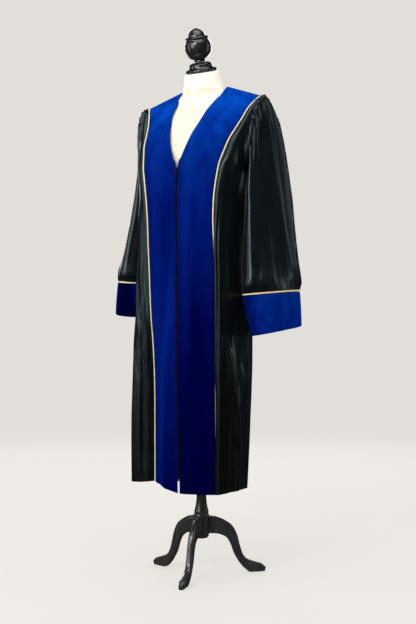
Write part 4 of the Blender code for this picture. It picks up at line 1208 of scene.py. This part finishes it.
def body_cloth():
    for side, word in SIDES:
        name = f"front_velvet_{word}"
        grid = mirrored(refined(velvet_grid(side, name), *VELVET_GRID), side)
        piece = panel_cloth(
            name, grid, AXIS_DROP, "velvet", VELVET_WALL, 10 + side, VELVET_LOOSE, 0.9, VELVET_ROLL)

        name = f"side_front_{word}"
        grid = mirrored(refined(side_front_grid(side, name), *SIDE_GRID), side)
        piece = panel_cloth(
            name, grid, 0.0, "satin", SATIN_WALL, 20 + side, SIDE_LOOSE, 1.0, SATIN_ROLL)
        piping_along_front(side, word)
    left = back_half(1, "back_left")
    right = mirrored(back_half(-1, "back_right"), -1)
    grid = refined(np.concatenate([right[:, :0:-1], left], axis=1), *BACK_GRID)
    below_seam = ease(lengths_down(grid) / 0.05)
    piece = panel_cloth("back", grid, AXIS_DROP, "satin", SATIN_WALL, 30, BACK_LOOSE, below_seam)


def piping_cord(name, path, first, second, closed):
    made = tube(f"{name}_cord", path, first, second, PIPING_LOOK_R, PIPING_SIDES, LOOKS["piping"], closed)
    dressed(made, "piping", name)


def piping_along_front(side, word):
    front, piping, _, _ = row_heights(side)
    at = np.linspace(0, len(piping) - 1, PIPING_STATIONS)
    path = resample(np.array([piping_point(z) for z in piping]), at)
    starts = resample(np.array([v_point(z) for z in front]), at)
    across = unit(path - starts)
    out = unit(np.cross(across, unit(np.gradient(path, axis=0))))
    out *= np.sign((out * path * (1, 1, 0)).sum())
    cover = read(PIPING_COVER[side], "z", path[:, 2], "cover")[:, None]
    path = path - out * PIPING_TUCK * cover - across * PIPING_SINK * cover
    around = (mirrored(points, side) for points in (path, across, out))
    piping_cord(f"piping_front_{word}", *around, closed=False)


def sleeve_cloth():
    for side, word in SIDES:
        angles = sleeve_angles(SLEEVE_COLUMNS)
        shares = np.concatenate([[0.0, 0.003], np.linspace(0.01, 0.99, SLEEVE_ROWS), [0.997, 1.0]])
        grid, inside = (mirrored(points, side) for points in sleeve_grid(side, angles, shares))
        relief = sleeve_creases(np.degrees(angles)[None, :], shares, side)
        grid = grid + grid_normals(grid, True, inside) * relief[..., None]
        piece = shell(f"sleeve_{word}_cloth", grid, SATIN_WALL, LOOKS["satin"], inside, wrap=True)
        dressed(piece, "satin", f"sleeve_{word}")
        cuff_cloth(side, word)


def cuff_cloth(side, word):
    """A cuff with a slight wave and belly and rolled edges, and the piping round its top."""
    angles = -math.pi + 2 * math.pi * np.arange(SLEEVE_COLUMNS) / SLEEVE_COLUMNS
    shares = np.concatenate([[0.0, 0.02], np.linspace(0.05, 0.95, CUFF_ROWS), [0.98, 1.0]])
    grid, inside = (mirrored(points, side) for points in cuff_grid(side, angles, shares))
    degrees = np.degrees(angles)[None, :]
    wave = 0.0012 * np.cos(np.radians(degrees * 5 + 40)) + 0.0008 * np.cos(np.radians(degrees * 9))
    belly = CUFF_BELLY * 4 * shares * (1 - shares)
    edge = CUFF_ROLL * np.clip(1 - np.minimum(shares, 1 - shares) / 0.05, 0, 1) ** 2
    relief = wave * (0.3 + 0.7 * shares[:, None]) + (belly - edge)[:, None]
    grid = grid + grid_normals(grid, True, inside) * relief[..., None]
    piece = shell(f"cuff_{word}_cloth", grid, VELVET_WALL, LOOKS["velvet"], inside, wrap=True)
    dressed(piece, "velvet", f"cuff_{word}")

    path, centre = ellipse(sleeve_ring(SLEEVE["ring"][-1], side), angles)
    path[:, 2] -= CUFF_WALL_DROP / 2
    out = unit((path - centre) * (1, 1, 0))
    path = path - out * PIPING_SINK
    up = np.broadcast_to([0.0, 0.0, 1.0], path.shape)
    piping_cord(f"piping_cuff_{word}", mirrored(path, side), mirrored(out, side), up, closed=True)


def zip_details():
    """Interlocking teeth in place of the plain chain, and worked shapes for slider and tab."""
    heights = np.arange(ZIP_BOTTOM + 0.001, ZIP_TOP - 0.004, TOOTH_PITCH)
    depths = read(V_EDGE, "z", heights, "y") + TOOTH_DEPTH
    points, faces = [], []
    for z, y in zip(heights, depths):
        for side in (-1, 1):
            tooth_z = z + (TOOTH_PITCH / 2 if side > 0 else 0)
            base = len(points)
            for x, half in TOOTH_SECTIONS:
                for dy, dz in ((-0.001, 0), (0, half), (0.001, 0), (0, -half)):
                    points.append((side * x, y + dy, tooth_z + dz))
            for a in (base, base + 4):
                for k in range(4):
                    j = (k + 1) % 4
                    faces.append((a + k, a + j, a + 4 + j, a + 4 + k)[::side])
            faces.append((base, base + 3, base + 2, base + 1)[::side])
            faces.append((base + 8, base + 9, base + 10, base + 11)[::side])
    dressed(object_of("zip_coil", points, faces, LOOKS["coil"]), "coil", "zip_chain")

    x0, x1, y0, y1, z0, z1 = stand_box("zip_slider")
    rings = []
    for depth, inset in ((0.0, 0.90), (0.12, 1.0), (0.88, 1.0), (1.0, 0.92)):
        half = (x1 - x0) / 2 * inset
        y = y1 + (y0 - y1) * depth
        rim = [(half * w, y, z0 + (z1 - z0) * v) for w, v in SLIDER_OUTLINE]
        rim += [(-x, y, z) for x, y, z in reversed(rim)]
        rings.append(rim)
    piece = lofted("zip_slider_body", np.array(rings)[:, ::-1], LOOKS["slider"], smooth_angle=30.0)
    softened(piece, 0.0003)
    dressed(piece, "slider", "zip_slider")
    pull_tab()


def stand_box(name):
    """A node's box in the stand's frame."""
    (x0, y0, z0), (x1, y1, z1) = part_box(name)
    return x0, x1, y0 - STAND_Y, y1 - STAND_Y, z0, z1


def softened(piece, width):
    bevel = piece.modifiers.new("soft edges", "BEVEL")
    bevel.width = width
    bevel.segments = 2


def pull_tab():
    """A plate with a rounded end and a slot."""
    _, half, y0, y1, z0, z1 = stand_box("zip_pull_tab")
    rim, hole = [], []
    for turn in np.linspace(0, math.pi, 11):
        x, drop = half * math.cos(turn), half * math.sin(turn)
        rim.append((x, z0 + half - drop))
        hole.append((TAB_SLOT * x, z0 + half - TAB_SLOT * drop))
    top, slot_top = z1 - 0.0006, z0 + 0.6 * (z1 - z0)
    rim += [(-0.72 * half, top), (0.72 * half, top)]
    hole += [(-TAB_SLOT * half, slot_top), (TAB_SLOT * half, slot_top)]
    count = len(rim)
    points = [(x, y, z) for y in (y0, y1) for ring in (rim, hole) for x, z in ring]
    faces = []
    for i in range(count):
        j = (i + 1) % count
        faces.append((i, j, count + j, count + i))
        faces.append((2 * count + j, 2 * count + i, 3 * count + i, 3 * count + j))
        faces.append((j, i, 2 * count + i, 2 * count + j))
        faces.append((count + i, count + j, 3 * count + j, 3 * count + i))
    piece = object_of("zip_tab_plate", points, faces, LOOKS["slider"], smooth_angle=30.0)
    softened(piece, 0.00025)
    dressed(piece, "slider", "zip_pull_tab", body="pull_tab")


def form_and_stand():
    turn = 2 * math.pi * np.arange(FORM_COLUMNS) / FORM_COLUMNS
    cos, sin = np.cos(turn), np.sin(turn)
    keys = FORM["z"]
    at = np.unique(np.concatenate([keys, np.linspace(keys[0], keys[-1], 150)]))
    sizes = read(FORM, "z", at, "half_width", "front_y", "back_y", "power", "tilt")
    rings = []
    for z, (half, front, back, power, tilt) in zip(at, zip(*sizes)):
        size = (np.abs(cos) ** power + np.abs(sin) ** power) ** (-1 / power)
        x = half * cos * size
        y = (back - front) / 2 * sin * size
        rings.append(np.stack([x, (front + back) / 2 + y, z + y * math.tan(math.radians(tilt))], axis=-1))
    piece = lofted("form_jersey", np.array(rings), LOOKS["jersey"], smooth_angle=60.0)
    dressed(piece, "jersey", "dress_form")
    for name, profile in (("neck_cap", NECK_CAP_PROFILE), ("finial", FINIAL_PROFILE)):
        piece = turned(f"{name}_turned", profile, LOOKS["gloss"], sides=96, steps=4, place=leaned)
        dressed(piece, "gloss", name)
    bore = ((BORE_R + 0.0008, POST_TOP + 0.0006), (BORE_R, POST_TOP - 0.001), (BORE_R, BORE_BOTTOM))
    profile = smooth_profile(POST_PROFILE, 4) + bore
    piece = turned("post_turned", profile, LOOKS["stand"], sides=72, steps=1)
    dressed(piece, "stand", "post", body="tripod")
    for name, angle in LEG_ANGLES.items():
        leg(name, math.radians(angle))
    for name, look in KEPT_NODES.items():
        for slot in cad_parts[name].material_slots:
            slot.material = LOOKS[look]


def leg(name, angle):
    """A leg lofted from its side view, with rounded edges and a flat sole."""
    along = np.array([math.cos(angle), math.sin(angle), 0.0])
    across = np.array([-math.sin(angle), math.cos(angle), 0.0])
    up = np.array([0.0, 0.0, 1.0])
    stations = np.linspace(0, LEG["station"][-1], 81)
    edges = read(LEG, "station", stations, "upper_r", "upper_z", "lower_r", "lower_z")
    corners = LEG_EDGE + tuple((-u, v) for u, v in reversed(LEG_EDGE))
    rings = []
    for station, top_r, top_z, low_r, low_z in zip(stations, *edges):
        width = LEG_WIDTH / 2 * (1 - 0.35 * ease((station - 8.5) / 1.5))
        high = along * top_r + up * top_z
        low = along * low_r + up * low_z
        rings.append([low + (high - low) * v + across * (u * width) for u, v in corners])
    piece = lofted(f"{name}_carved", np.array(rings), LOOKS["stand"], smooth_angle=50.0)
    dressed(piece, "stand", name, body="tripod")


# Studio
def studio():
    scene = bpy.context.scene
    scene.view_settings.view_transform = "Standard"
    axis = np.array([0.0, STAND_Y, 0.0])
    turn = math.radians(PHOTO_ANGLE)
    right = np.array([math.cos(turn), math.sin(turn), 0.0])
    away = np.array([math.sin(turn), -math.cos(turn), 0.0])
    up = np.array([0.0, 0.0, 1.0])
    camera = bpy.data.cameras.new("camera")
    camera.sensor_width = 36.0
    camera.lens = CAMERA_LENS
    held = bpy.data.objects.new("camera", camera)
    held.location = axis + CAMERA["away"] * away + CAMERA["right"] * right + CAMERA["up"] * up
    held.rotation_euler = (math.pi / 2, 0, turn)
    scene.collection.objects.link(held)
    scene.camera = held

    world = bpy.data.worlds.new("studio")
    world.use_nodes = True
    feed(world.node_tree, world.node_tree.nodes["Background"], Color=(1.0, 0.985, 0.955), Strength=0.80)
    world.cycles_visibility.glossy = False
    scene.world = world

    for name, place, aim_z, size, power in LAMPS:
        light = bpy.data.lights.new(name, "AREA")
        light.shape = "RECTANGLE"
        light.size, light.size_y = size
        light.energy = power
        at = axis + place[0] * right + place[1] * away + place[2] * up
        made = bpy.data.objects.new(name, light)
        made.location = at
        made.rotation_euler = aimed(axis + aim_z * up - at)
        made.visible_camera = False
        scene.collection.objects.link(made)
    backdrop(axis, right, away, up)


def backdrop(axis, right, away, up):
    """A pale floor that curves up into a wall behind the stand."""
    floor, _, _ = look_of(
        "studio floor", Base_Color=(0.20, 0.195, 0.187), Roughness=1.0, Specular_IOR_Level=0.0,
        Emission_Color=(0.76, 0.735, 0.70), Emission_Strength=0.775)
    steps = [(BACKDROP_SIZE, 0.0), (-BACKDROP_FLOOR, 0.0)]
    for bend in np.linspace(0, math.pi / 2, 13)[1:]:
        out, high = BACKDROP_BEND * math.sin(bend), BACKDROP_BEND * (1 - math.cos(bend))
        steps.append((-BACKDROP_FLOOR - out, high))
    steps.append((-BACKDROP_FLOOR - BACKDROP_BEND, BACKDROP_TOP))
    edges = (-BACKDROP_SIZE * right, BACKDROP_SIZE * right)
    points = [axis + edge + near * away + z * up for near, z in steps for edge in edges]
    mesh = bpy.data.meshes.new("backdrop")
    faces = [(2 * i, 2 * i + 1, 2 * i + 3, 2 * i + 2) for i in range(len(steps) - 1)]
    mesh.from_pydata([tuple(p) for p in points], [], faces)
    mesh.materials.append(floor)
    mesh.shade_smooth()
    made = bpy.data.objects.new("backdrop", mesh)
    bpy.context.scene.collection.objects.link(made)
    made.visible_glossy = False


def aimed(direction):
    """Rotation that points a lamp's -Z along a direction."""
    x, y, z = direction
    return (math.atan2(math.hypot(x, y), -z), 0.0, math.atan2(y, x) - math.pi / 2)


studio()
body_cloth()
sleeve_cloth()
zip_details()
form_and_stand()
